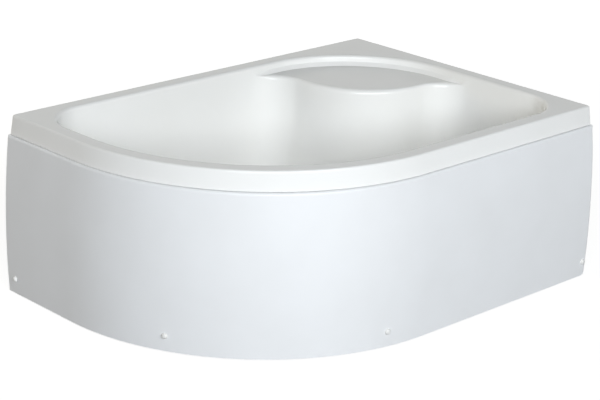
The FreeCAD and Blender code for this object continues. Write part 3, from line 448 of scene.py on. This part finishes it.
def glass_fibre():
    """Resin-soaked chopped strands, sprayed on the back of the sheet and rolled down."""
    material, tree, shader, place = new_finish("glass_fibre_backing")
    stretch = tree.nodes.new("ShaderNodeMapping")
    stretch.inputs["Rotation"].default_value = (0.5, 0.7, 0.9)
    stretch.inputs["Scale"].default_value = (1.0, 7.0, 7.0)
    tree.links.new(place, stretch.inputs["Vector"])
    crossing = tree.nodes.new("ShaderNodeMapping")
    crossing.inputs["Rotation"].default_value = (-0.8, 0.3, -0.6)
    crossing.inputs["Scale"].default_value = (7.0, 1.0, 7.0)
    tree.links.new(place, crossing.inputs["Vector"])
    strands = tree.nodes.new("ShaderNodeMath")
    strands.operation = "MAXIMUM"
    tree.links.new(cloud(tree, stretch.outputs["Vector"], 45.0), strands.inputs[0])
    tree.links.new(cloud(tree, crossing.outputs["Vector"], 45.0), strands.inputs[1])
    colour = tint(tree, strands.outputs["Value"], (0.46, 0.43, 0.33), (0.70, 0.68, 0.58), 0.45, 0.70)
    tree.links.new(colour, shader.inputs["Base Color"])
    wetness = between(tree, cloud(tree, place, 20.0), 0.35, 0.60)
    tree.links.new(wetness, shader.inputs["Roughness"])
    relief(tree, shader, strands.outputs["Value"], 0.0008)
    return material


tray_moulding = new_piece("tray_moulding", vertices, faces)
tray_finish = acrylic("tray_acrylic", TRAY_DARK, TRAY_LIGHT, TRAY_GLOSS)
tray_moulding.data.materials.append(tray_finish)
tray_moulding.data.materials.append(glass_fibre())
wall = tray_moulding.modifiers.new("sheet", "SOLIDIFY")
wall.thickness = SHELL_WALL
wall.offset = -1.0
wall.use_even_offset = True
wall.material_offset = 1
set_in_mesh(tray_moulding)
shade_soft(tray_moulding, TRAY_CREASE)
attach(tray_moulding, "tray")
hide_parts("tray_shell")


# Boards: chipboard sealed with resin, bonded under the standing surface and under the seat so that
# the thin sheet doesn't give under a foot.
def chipboard():
    """Pressed wood flakes in several browns, with resin soaked into them."""
    material, tree, shader, place = new_finish("sealed_chipboard")
    flakes = tree.nodes.new("ShaderNodeTexVoronoi")
    flakes.inputs["Scale"].default_value = 260.0
    tree.links.new(place, flakes.inputs["Vector"])
    grey = tree.nodes.new("ShaderNodeSeparateColor")
    tree.links.new(flakes.outputs["Color"], grey.inputs["Color"])
    colour = tint(tree, grey.outputs["Red"], (0.24, 0.15, 0.07), (0.62, 0.46, 0.27), 0.05, 0.95)
    tree.links.new(colour, shader.inputs["Base Color"])
    soaked = between(tree, cloud(tree, place, 18.0), 0.45, 0.85)
    tree.links.new(soaked, shader.inputs["Roughness"])
    relief(tree, shader, grey.outputs["Green"], 0.0004, 0.6)
    return material


def dress(material, *names):
    """Give CAD nodes their finish."""
    for name in names:
        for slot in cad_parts[name].material_slots:
            slot.material = material


dress(chipboard(), "floor_board", "seat_board")


# Steel frame: 25 mm square tubes and round posts, cut to length, welded and hot-dip galvanised, so
# the zinc shows its crystals. The welds are rows of overlapping beads round each joint.
BEAD_RADIUS = 0.0019
BEAD_PITCH = 0.0024
POST_WELD_POINTS = 18
BEAD_SEGMENTS = 8
BEAD_RINGS = 5
BEAD_SMALLEST = 0.75  # shares of the bead radius
BEAD_LARGEST = 1.15
BEAD_SEED = 7


def galvanised():
    """Dull zinc crystals a few millimetres across."""
    material, tree, shader, place = new_finish("galvanised_steel")
    crystals = tree.nodes.new("ShaderNodeTexVoronoi")
    crystals.inputs["Scale"].default_value = 90.0
    tree.links.new(place, crystals.inputs["Vector"])
    grey = tree.nodes.new("ShaderNodeSeparateColor")
    tree.links.new(crystals.outputs["Color"], grey.inputs["Color"])
    colour = tint(tree, grey.outputs["Red"], (0.40, 0.42, 0.44), (0.58, 0.60, 0.61), 0.1, 0.9)
    tree.links.new(colour, shader.inputs["Base Color"])
    tree.links.new(between(tree, grey.outputs["Blue"], 0.38, 0.58), shader.inputs["Roughness"])
    shader.inputs["Metallic"].default_value = 0.85
    relief(tree, shader, cloud(tree, place, 300.0), 0.0002, 0.5)
    return material


def new_rule(name, sizes):
    """Node tree with its sizes as named inputs. Returns the tree, its inputs and its result."""
    tree = bpy.data.node_groups.new(name, "GeometryNodeTree")
    tree.interface.new_socket("Geometry", in_out="INPUT", socket_type="NodeSocketGeometry")
    for label, kind in sizes.items():
        tree.interface.new_socket(label, in_out="INPUT", socket_type=kind)
    tree.interface.new_socket("Geometry", in_out="OUTPUT", socket_type="NodeSocketGeometry")
    given = tree.nodes.new("NodeGroupInput")
    result = tree.nodes.new("NodeGroupOutput")
    return tree, given.outputs, result.inputs["Geometry"]


def step_of(tree, kind, links, **values):
    """Node of a tree with its links by socket and its settings by name."""
    node = tree.nodes.new(kind)
    for name, value in values.items():
        setattr(node, name, value)
    for socket, source in links.items():
        if isinstance(source, bpy.types.NodeSocket):
            tree.links.new(source, node.inputs[socket])
        else:
            node.inputs[socket].default_value = source
    return node


def close_rule(tree, geometry, result, material):
    """End of a tree: real geometry, smooth, with its finish."""
    real = step_of(tree, "GeometryNodeRealizeInstances", {"Geometry": geometry})
    smooth = step_of(tree, "GeometryNodeSetShadeSmooth", {"Geometry": real.outputs[0]})
    finish = step_of(tree, "GeometryNodeSetMaterial", {"Geometry": smooth.outputs[0], "Material": material})
    tree.links.new(finish.outputs[0], result)


def follow_rule(piece, tree, sizes):
    """Run a tree on a piece with its sizes, and keep the result as plain mesh."""
    modifier = piece.modifiers.new(tree.name, "NODES")
    modifier.node_group = tree
    for item in tree.interface.items_tree:
        if item.in_out == "INPUT" and item.name in sizes:
            modifier[item.identifier] = sizes[item.name]
    set_in_mesh(piece)


frame_zinc = galvanised()
tubes = ["rail_back", "rail_front", "cross_left", "cross_middle_rear", "cross_middle_front", "cross_right"]
posts = ["back_left", "back_middle", "back_right", "front_left", "front_middle", "front_right"]
post_nodes = ["rim_post_" + post for post in posts] + ["seat_post"]
dress(frame_zinc, *tubes, "seat_beam", *post_nodes)

welded_ends = {
    "cross_left": ("y", 0, 1),
    "cross_middle_rear": ("y", 0, 1),
    "cross_middle_front": ("y", 1),
    "cross_right": ("y", 1),
    "rail_front": ("x", 1),
    "seat_beam": ("x", 0, 1),
}
seam_points, seam_edges = [], []


def add_seam(points):
    """Closed line that a weld runs along."""
    first = len(seam_points)
    seam_points.extend(points)
    for step in range(len(points)):
        seam_edges.append((first + step, first + (step + 1) % len(points)))


for name, (way, *ends) in welded_ends.items():
    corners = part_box(name)
    (low_x, low_y, bottom), (high_x, high_y, top) = corners
    for end in ends:
        if way == "y":
            y = corners[end][1]
            add_seam([(low_x, y, bottom), (high_x, y, bottom), (high_x, y, top), (low_x, y, top)])
        else:
            x = corners[end][0]
            add_seam([(x, low_y, bottom), (x, high_y, bottom), (x, high_y, top), (x, low_y, top)])
for name in post_nodes:
    (low_x, low_y, bottom), (high_x, high_y, _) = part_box(name)
    turns = [2 * math.pi * step / POST_WELD_POINTS for step in range(POST_WELD_POINTS)]
    radius = (high_x - low_x) / 2
    middle = Vector(((low_x + high_x) / 2, (low_y + high_y) / 2, bottom))
    add_seam([middle + Vector((radius * math.cos(turn), radius * math.sin(turn), 0)) for turn in turns])

weld_rule, given, result = new_rule(
    "weld_beads", {"Bead radius": "NodeSocketFloat", "Bead pitch": "NodeSocketFloat"}
)
seams = step_of(weld_rule, "GeometryNodeMeshToCurve", {"Mesh": given["Geometry"]})
spaced = step_of(
    weld_rule,
    "GeometryNodeResampleCurve",
    {"Curve": seams.outputs[0], "Length": given["Bead pitch"]},
    mode="LENGTH",
)
bead = step_of(
    weld_rule,
    "GeometryNodeMeshUVSphere",
    {"Segments": BEAD_SEGMENTS, "Rings": BEAD_RINGS, "Radius": given["Bead radius"]},
)
# Sockets of the random node by number: least, most and seed of its plain numbers
swell = step_of(
    weld_rule,
    "FunctionNodeRandomValue",
    {2: BEAD_SMALLEST, 3: BEAD_LARGEST, 8: BEAD_SEED},
    data_type="FLOAT",
)
beads = step_of(
    weld_rule,
    "GeometryNodeInstanceOnPoints",
    {"Points": spaced.outputs[0], "Instance": bead.outputs[0], "Scale": swell.outputs[1]},
)
close_rule(weld_rule, beads.outputs[0], result, frame_zinc)
frame_welds = new_piece("frame_welds", seam_points, [], seam_edges)
follow_rule(frame_welds, weld_rule, {"Bead radius": BEAD_RADIUS, "Bead pitch": BEAD_PITCH})
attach(frame_welds, "tray")


# Small parts on the frame: black plastic plugs pushed into the open tube ends, rubber pads on the
# posts, and zinc-plated wood screws that go up through the tubes into the board.
def black_plastic():
    """Moulded plastic with a fine eroded grain."""
    material, tree, shader, place = new_finish("black_plastic")
    grain = cloud(tree, place, 900.0, 2.0)
    colour = tint(tree, grain, (0.018, 0.018, 0.019), (0.040, 0.040, 0.042))
    tree.links.new(colour, shader.inputs["Base Color"])
    tree.links.new(between(tree, grain, 0.42, 0.60), shader.inputs["Roughness"])
    relief(tree, shader, grain, 0.0001, 0.6)
    return material


def black_rubber():
    """Matt rubber with a dusty bloom."""
    material, tree, shader, place = new_finish("black_rubber")
    bloom = cloud(tree, place, 60.0, 5.0)
    colour = tint(tree, bloom, (0.014, 0.014, 0.014), (0.045, 0.044, 0.043))
    tree.links.new(colour, shader.inputs["Base Color"])
    tree.links.new(between(tree, bloom, 0.70, 0.92), shader.inputs["Roughness"])
    relief(tree, shader, cloud(tree, place, 1200.0), 0.0001, 0.5)
    return material


def zinc_plate():
    """Bright zinc with a faint yellow and blue passivation."""
    material, tree, shader, place = new_finish("zinc_plate")
    film = cloud(tree, place, 70.0, 4.0)
    tree.links.new(tint(tree, film, (0.60, 0.62, 0.66), (0.74, 0.71, 0.60)), shader.inputs["Base Color"])
    tree.links.new(between(tree, cloud(tree, place, 400.0), 0.22, 0.40), shader.inputs["Roughness"])
    shader.inputs["Metallic"].default_value = 1.0
    return material


plastic, rubber, zinc = black_plastic(), black_rubber(), zinc_plate()
dress(plastic, "tube_end_plugs")
dress(rubber, "post_pads")
dress(zinc, "board_screws")


# Feet: zinc-plated M12 studs with rolled threads, each standing in a black plastic pad and screwed
# through a nut on the frame. A second nut below locks it at its height.
FEET = ["left", "front_left", "front_middle", "front_right", "back_middle", "back_right"]
THREAD_PITCH = 0.00175
THREAD_DEPTH = 0.0009
ROWS_PER_TURN = 5
POINTS_ROUND = 18
END_SHARE = 0.0005  # of the length, at each end, where the mesh closes to a point
SEAM_GAP = 0.00001  # points closer than this become one

thread_rule, given, result = new_rule(
    "stud_thread",
    {
        "Foot": "NodeSocketVector",
        "Radius": "NodeSocketFloat",
        "Length": "NodeSocketFloat",
        "Pitch": "NodeSocketFloat",
        "Depth": "NodeSocketFloat",
        "Rows": "NodeSocketInt",
        "Points round": "NodeSocketInt",
    },
)


def number(tree, operation, *inputs):
    """One step of arithmetic in a tree."""
    return step_of(tree, "ShaderNodeMath", dict(enumerate(inputs)), operation=operation).outputs[0]


def unrolled(tree, rows, points):
    """Flat sheet to be rolled up: its mesh and its shares round and along, from 0 to 1."""
    sheet = step_of(
        tree,
        "GeometryNodeMeshGrid",
        {"Size X": 1.0, "Size Y": 1.0, "Vertices X": points, "Vertices Y": rows},
    )
    spot = tree.nodes.new("GeometryNodeInputPosition")
    parts = step_of(tree, "ShaderNodeSeparateXYZ", {0: spot.outputs[0]})
    across, along = parts.outputs["X"], parts.outputs["Y"]
    return sheet.outputs["Mesh"], number(tree, "ADD", across, 0.5), number(tree, "ADD", along, 0.5)


def rolled(tree, sheet, turn, radius, height):
    """Sheet rolled into a turned shape, with its seam and its ends closed."""
    angle = number(tree, "MULTIPLY", turn, 2 * math.pi)
    x = number(tree, "MULTIPLY", radius, number(tree, "COSINE", angle))
    y = number(tree, "MULTIPLY", radius, number(tree, "SINE", angle))
    place = step_of(tree, "ShaderNodeCombineXYZ", {"X": x, "Y": y, "Z": height})
    shape = step_of(tree, "GeometryNodeSetPosition", {"Geometry": sheet, "Position": place.outputs[0]})
    closed = step_of(
        tree, "GeometryNodeMergeByDistance", {"Geometry": shape.outputs[0], "Distance": SEAM_GAP}
    )
    return closed.outputs[0]


sheet, turn, along = unrolled(thread_rule, given["Rows"], given["Points round"])
height = number(thread_rule, "MULTIPLY", along, given["Length"])
turns_up = number(thread_rule, "DIVIDE", height, given["Pitch"])
phase = number(thread_rule, "FRACT", number(thread_rule, "SUBTRACT", turns_up, turn))
groove = number(thread_rule, "ABSOLUTE", number(thread_rule, "MULTIPLY_ADD", phase, 2.0, -1.0))
cut_in = number(thread_rule, "MULTIPLY", groove, given["Depth"])
radius = number(thread_rule, "SUBTRACT", given["Radius"], cut_in)
from_end = number(thread_rule, "PINGPONG", along, 0.5)
inside = number(thread_rule, "GREATER_THAN", from_end, END_SHARE)
stud = rolled(thread_rule, sheet, turn, number(thread_rule, "MULTIPLY", radius, inside), height)
placed = step_of(thread_rule, "GeometryNodeTransform", {"Geometry": stud, "Translation": given["Foot"]})
close_rule(thread_rule, placed.outputs[0], result, zinc)

for foot in FEET:
    low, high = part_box("foot_stud_" + foot)
    length = high[2] - low[2]
    threaded_stud = new_piece("threaded_stud_" + foot, [], [])
    follow_rule(threaded_stud, thread_rule, {
        "Foot": ((low[0] + high[0]) / 2, (low[1] + high[1]) / 2, low[2]),
        "Radius": (high[0] - low[0]) / 2,
        "Length": length,
        "Pitch": THREAD_PITCH,
        "Depth": THREAD_DEPTH,
        "Rows": round(ROWS_PER_TURN * length / THREAD_PITCH),
        "Points round": POINTS_ROUND,
    })
    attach(threaded_stud, "foot_" + foot)
    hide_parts("foot_stud_" + foot)
    dress(plastic, "foot_pad_" + foot)
dress(zinc, "foot_weld_nuts", "foot_lock_nuts", "foot_washers")


# Front panel: one bowed sheet of the same acrylic, formed over its own mould and a shade cooler than
# the tray. Its upstand clips behind the rim's skirt and four screws hold its lower edge.
PANEL_DARK = (0.89, 0.898, 0.905)
PANEL_LIGHT = (0.926, 0.936, 0.947)
PANEL_GLOSS = 0.34

panel_finish = acrylic("panel_acrylic", PANEL_DARK, PANEL_LIGHT, PANEL_GLOSS)
dress(panel_finish, "front_panel")


# Panel fixings: galvanised angle brackets on the feet, screws with plastic washers, domed white caps
# that snap over the washers, and plastic clips on the panel's upstand.
PANEL_GAP = 0.0015
PANEL_TOP_PROUD = 0.015
BELLY_PROUD = 0.029
BELLY_HEIGHT = 0.165
FIX_HEIGHT = 0.045
FIX_EDGE = 0.026  # outer screws' feet from the walls
LEFT_SIDE = 0.008  # left screw, sideways from its foot
RIGHT_SIDE = 0.011  # right screw, sideways from its foot
ARC_TURNS = (27.0, 79.0)  # degrees round the big corner
CAP_RADIUS = 0.0072
CAP_HEIGHT = 0.0064
CAP_FLANGE = 0.0006
CAP_ROWS = 15
CAP_POINTS = 41
CAP_FULLNESS = 0.62  # 1 is a plain half round, less is a fuller shoulder
FLANGE_SHARE = 0.1  # of the way up the dome
CROWN_SHARE = 0.999  # above it the dome closes to a point

belly_rise = rim_top - SKIRT_HEIGHT - PANEL_GAP - BELLY_HEIGHT
belly_swell = BELLY_PROUD - PANEL_TOP_PROUD
belly_radius = (belly_rise ** 2 + belly_swell ** 2) / (2 * belly_swell)
below_belly = BELLY_HEIGHT - FIX_HEIGHT
proud = BELLY_PROUD - belly_radius + math.sqrt(belly_radius ** 2 - below_belly ** 2)
lean_down = math.asin(below_belly / belly_radius)
arc_centre = Vector((FRONT_RADIUS - TRAY_LENGTH, FRONT_RADIUS - TRAY_WIDTH, 0))

# Each cap's foot on the panel and the way it faces, seen in plan
cap_places = [
    (Vector((-TRAY_LENGTH, -FIX_EDGE - LEFT_SIDE, 0)), Vector((-1, 0, 0))),
    (Vector((RIGHT_SIDE - FIX_EDGE, -TRAY_WIDTH, 0)), Vector((0, -1, 0))),
]
for turn in ARC_TURNS:
    angle = math.radians(180 + turn)
    out = Vector((math.cos(angle), math.sin(angle), 0))
    cap_places.append((arc_centre + out * FRONT_RADIUS, out))
cap_feet, cap_ways = [], []
for edge, out in cap_places:
    foot = edge + out * proud + Vector((wall_corner.x, wall_corner.y, FIX_HEIGHT))
    cap_feet.append(foot)
    cap_ways.append(out * math.cos(lean_down) - Vector((0, 0, math.sin(lean_down))))


def white_plastic():
    """Moulded white plastic, semi-gloss, a little yellowed in places."""
    material, tree, shader, place = new_finish("white_plastic")
    age = cloud(tree, place, 40.0)
    tree.links.new(tint(tree, age, (0.83, 0.82, 0.78), (0.88, 0.88, 0.87)), shader.inputs["Base Color"])
    tree.links.new(between(tree, cloud(tree, place, 500.0), 0.24, 0.36), shader.inputs["Roughness"])
    return material


white = white_plastic()
cap_rule, given, result = new_rule(
    "screw_cap",
    {"Radius": "NodeSocketFloat", "Height": "NodeSocketFloat", "Flange": "NodeSocketFloat"},
)
sheet, turn, along = unrolled(cap_rule, CAP_ROWS, CAP_POINTS)
rise = number(cap_rule, "MULTIPLY", along, math.pi / 2)
crown = number(cap_rule, "POWER", number(cap_rule, "COSINE", rise), CAP_FULLNESS)
at_foot = number(cap_rule, "LESS_THAN", along, FLANGE_SHARE)
skirt = number(cap_rule, "MULTIPLY", at_foot, given["Flange"])
radius = number(cap_rule, "MULTIPLY_ADD", crown, given["Radius"], skirt)
inside = number(cap_rule, "LESS_THAN", along, CROWN_SHARE)
height = number(cap_rule, "MULTIPLY", number(cap_rule, "SINE", rise), given["Height"])
dome = rolled(cap_rule, sheet, turn, number(cap_rule, "MULTIPLY", radius, inside), height)
way = step_of(cap_rule, "GeometryNodeInputNamedAttribute", {"Name": "faces"}, data_type="FLOAT_VECTOR")
aimed = step_of(cap_rule, "FunctionNodeAlignRotationToVector", {"Vector": way.outputs[0]}, axis="Z")
caps = step_of(
    cap_rule,
    "GeometryNodeInstanceOnPoints",
    {"Points": given["Geometry"], "Instance": dome, "Rotation": aimed.outputs[0]},
)
close_rule(cap_rule, caps.outputs[0], result, white)

domed_caps = new_piece("domed_caps", cap_feet, [])
faces_out = domed_caps.data.attributes.new("faces", "FLOAT_VECTOR", "POINT")
for index, way in enumerate(cap_ways):
    faces_out.data[index].vector = way
follow_rule(domed_caps, cap_rule, {"Radius": CAP_RADIUS, "Height": CAP_HEIGHT, "Flange": CAP_FLANGE})
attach(domed_caps, "tray")
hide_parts("screw_caps")
brackets = ["left", "front_left", "front_middle", "front_right"]
dress(frame_zinc, *["panel_bracket_" + bracket for bracket in brackets])
dress(zinc, "panel_screws")
dress(white, "screw_cap_bases", "panel_clips")


# Waste: chrome-plated brass body clamped through the tray between two rubber gaskets by a plastic
# nut, with a pop-up plug on a brass stem.
def chrome():
    """Bright plating with wiped-off water marks."""
    material, tree, shader, place = new_finish("chrome_plate")
    marks = cloud(tree, place, 90.0, 6.0)
    tree.links.new(tint(tree, marks, (0.70, 0.71, 0.73), (0.80, 0.80, 0.82)), shader.inputs["Base Color"])
    tree.links.new(between(tree, marks, 0.05, 0.14), shader.inputs["Roughness"])
    shader.inputs["Metallic"].default_value = 1.0
    return material


def turned_brass():
    """Brass with the fine rings that a lathe leaves round it."""
    material, tree, shader, place = new_finish("turned_brass")
    rings = tree.nodes.new("ShaderNodeTexWave")
    rings.bands_direction = "Z"
    rings.inputs["Scale"].default_value = 900.0
    rings.inputs["Distortion"].default_value = 1.5
    tree.links.new(place, rings.inputs["Vector"])
    colour = tint(tree, rings.outputs["Fac"], (0.56, 0.40, 0.16), (0.72, 0.54, 0.25))
    tree.links.new(colour, shader.inputs["Base Color"])
    tree.links.new(between(tree, rings.outputs["Fac"], 0.22, 0.34), shader.inputs["Roughness"])
    shader.inputs["Metallic"].default_value = 1.0
    return material


dress(chrome(), "waste_body", "plug_cap")
dress(turned_brass(), "plug_stem")
dress(rubber, "waste_gasket_upper", "waste_gasket_lower", "plug_seal")
dress(plastic, "waste_back_nut")


# Bottle trap: white polypropylene mouldings, a ribbed union nut that hangs it on the waste, and a
# ribbed cup below that unscrews for cleaning. Rubber washers seal both.
CUP_RIBS = 28
UNION_RIBS = 24
RIB_RADIUS = 0.0016
RIB_SEGMENTS = 10
RIB_RINGS = 8
RIB_HEIGHT_SHARE = 0.44  # half a rib, as a share of the height of what it grips
CUP_RIB_PLACE = 1.0  # where the ribs stand, as a share of the radius
UNION_RIB_PLACE = 0.94


def polypropylene():
    """Slightly waxy moulded plastic with flow marks."""
    material, tree, shader, place = new_finish("trap_polypropylene")
    flow = cloud(tree, place, 35.0, 4.0)
    tree.links.new(tint(tree, flow, (0.72, 0.72, 0.69), (0.80, 0.80, 0.78)), shader.inputs["Base Color"])
    tree.links.new(between(tree, flow, 0.36, 0.50), shader.inputs["Roughness"])
    relief(tree, shader, cloud(tree, place, 700.0), 0.00008, 0.5)
    return material


trap_plastic = polypropylene()
rib_rule, given, result = new_rule(
    "grip_ribs",
    {
        "Middle": "NodeSocketVector",
        "Ribs": "NodeSocketInt",
        "Radius": "NodeSocketFloat",
        "Rib radius": "NodeSocketFloat",
        "Stretch": "NodeSocketVector",
    },
)
stations = step_of(
    rib_rule, "GeometryNodeMeshCircle", {"Vertices": given["Ribs"], "Radius": given["Radius"]}
)
rib = step_of(
    rib_rule,
    "GeometryNodeMeshUVSphere",
    {"Segments": RIB_SEGMENTS, "Rings": RIB_RINGS, "Radius": given["Rib radius"]},
)
ribs = step_of(
    rib_rule,
    "GeometryNodeInstanceOnPoints",
    {"Points": stations.outputs[0], "Instance": rib.outputs[0], "Scale": given["Stretch"]},
)
round_nut = step_of(
    rib_rule, "GeometryNodeTransform", {"Geometry": ribs.outputs[0], "Translation": given["Middle"]}
)
close_rule(rib_rule, round_nut.outputs[0], result, trap_plastic)
ribbed = (
    ("trap_cup", "trap_cup", CUP_RIBS, CUP_RIB_PLACE),
    ("union_nut", "tray", UNION_RIBS, UNION_RIB_PLACE),
)
for node, body, count, share in ribbed:
    low, high = Vector(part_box(node)[0]), Vector(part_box(node)[1])
    grip = new_piece(node + "_ribs", [], [])
    follow_rule(grip, rib_rule, {
        "Middle": (low + high) / 2,
        "Ribs": count,
        "Radius": share * (high.x - low.x) / 2,
        "Rib radius": RIB_RADIUS,
        "Stretch": (1.0, 1.0, RIB_HEIGHT_SHARE * (high.z - low.z) / RIB_RADIUS),
    })
    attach(grip, body)
dress(trap_plastic, "union_nut", "trap_body", "trap_cup")
dress(rubber, "trap_washer", "cup_seal")


# Studio: a white floor that runs out of sight and keeps the tray's shadow, a large cool light beside
# the camera, two weaker lights behind the long wall, and a faint even light from all round.
AMBIENT = 0.03
AMBIENT_COLOUR = (1.0, 0.98, 0.94)
FLOOR_SIZE = 40.0
FLOOR_DROP = 0.0005  # below the feet
FLOOR_GREY = (0.30, 0.30, 0.30)
FLOOR_LIFT = 0.86  # white added near the tray
FAR_LIFT = 0.95  # and far from it, where less light falls
LIFT_START = 1.0  # distances from the tray's middle between which the one turns into the other
LIFT_END = 3.0

# Degrees round from the left side towards the front, degrees above the floor, distance, width,
# depth, power and colour
LAMPS = {
    "key_light": (60.0, 25.0, 6.0, 5.4, 2.3, 338.0, (0.93, 0.966, 1.0)),
    "wall_light": (250.0, 30.0, 5.0, 4.0, 2.0, 55.0, (0.94, 1.0, 0.97)),
    "back_light": (292.0, 16.0, 5.0, 4.0, 2.0, 52.0, (1.0, 0.87, 0.68)),
}


def seen_directly(tree):
    """1 for what the camera sees, straight or in a reflection or through glass."""
    path = tree.nodes.new("ShaderNodeLightPath")
    straight = number(tree, "MAXIMUM", path.outputs["Is Camera Ray"], path.outputs["Is Glossy Ray"])
    return number(tree, "MAXIMUM", straight, path.outputs["Is Transmission Ray"])


half = FLOOR_SIZE / 2
floor_corners = [(-half, -half), (half, -half), (half, half), (-half, half)]
studio_floor = new_piece("studio_floor", [(x, y, -FLOOR_DROP) for x, y in floor_corners], [(0, 1, 2, 3)])
floor_paint = bpy.data.materials.new("studio_floor")
floor_paint.use_nodes = True
tree = floor_paint.node_tree
tree.nodes.remove(tree.nodes["Principled BSDF"])
matt = step_of(tree, "ShaderNodeBsdfDiffuse", {"Color": (*FLOOR_GREY, 1)})
spot = tree.nodes.new("ShaderNodeTexCoord").outputs["Object"]
away = step_of(tree, "ShaderNodeVectorMath", {0: spot}, operation="LENGTH").outputs["Value"]
fade = step_of(
    tree,
    "ShaderNodeMapRange",
    {
        "Value": away,
        "From Min": LIFT_START,
        "From Max": LIFT_END,
        "To Min": FLOOR_LIFT,
        "To Max": FAR_LIFT,
    },
)
lift = number(tree, "MULTIPLY", seen_directly(tree), fade.outputs["Result"])
glow = step_of(tree, "ShaderNodeEmission", {"Strength": lift})
both = step_of(tree, "ShaderNodeAddShader", {0: matt.outputs[0], 1: glow.outputs[0]})
tree.links.new(both.outputs[0], tree.nodes["Material Output"].inputs["Surface"])
studio_floor.data.materials.append(floor_paint)

world = bpy.data.worlds.new("studio")
world.use_nodes = True
bpy.context.scene.world = world
tree = world.node_tree
even = tree.nodes["Background"]
even.inputs["Strength"].default_value = AMBIENT
even.inputs["Color"].default_value = (*AMBIENT_COLOUR, 1)
white_out = step_of(tree, "ShaderNodeBackground", {"Color": (1, 1, 1, 1), "Strength": 1.0})
chosen = step_of(
    tree, "ShaderNodeMixShader", {0: seen_directly(tree), 1: even.outputs[0], 2: white_out.outputs[0]}
)
tree.links.new(chosen.outputs[0], tree.nodes["World Output"].inputs["Surface"])


def aim(piece, target):
    """Turn a light so that it looks at a point."""
    piece.rotation_euler = (Vector(target) - piece.location).to_track_quat("-Z", "Y").to_euler()


for name, (turn, climb, distance, width, depth, power, colour) in LAMPS.items():
    lamp = bpy.data.lights.new(name, "AREA")
    lamp.shape = "RECTANGLE"
    lamp.size = width
    lamp.size_y = depth
    lamp.energy = power
    lamp.color = colour
    turn, climb = math.radians(turn), math.radians(climb)
    stand = bpy.data.objects.new(name, lamp)
    stand.location = Vector((
        -math.cos(turn) * math.cos(climb) * distance,
        -math.sin(turn) * math.cos(climb) * distance,
        math.sin(climb) * distance,
    ))
    aim(stand, (0, 0, rim_top / 2))
    stand.visible_glossy = name == "key_light"  # the lights behind leave no glare on the rim
    bpy.context.scene.collection.objects.link(stand)


# Camera: where the photograph was taken from, how it was held and how long its lens was, all found
# from the edges of the rim, the skirt and the panel.
CAMERA_PLACE = (-3.08814, -3.21890, 1.84105)
CAMERA_TURN = (70.156, -1.501, -43.121)
CAMERA_LENS = 111.746
CAMERA_SENSOR = 36.0

camera_lens = bpy.data.cameras.new("camera")
camera_lens.lens = CAMERA_LENS
camera_lens.sensor_width = CAMERA_SENSOR
camera = bpy.data.objects.new("camera", camera_lens)
camera.location = CAMERA_PLACE
camera.rotation_euler = [math.radians(angle) for angle in CAMERA_TURN]
bpy.context.scene.collection.objects.link(camera)
bpy.context.scene.camera = camera
bpy.context.scene.view_settings.view_transform = "Standard"
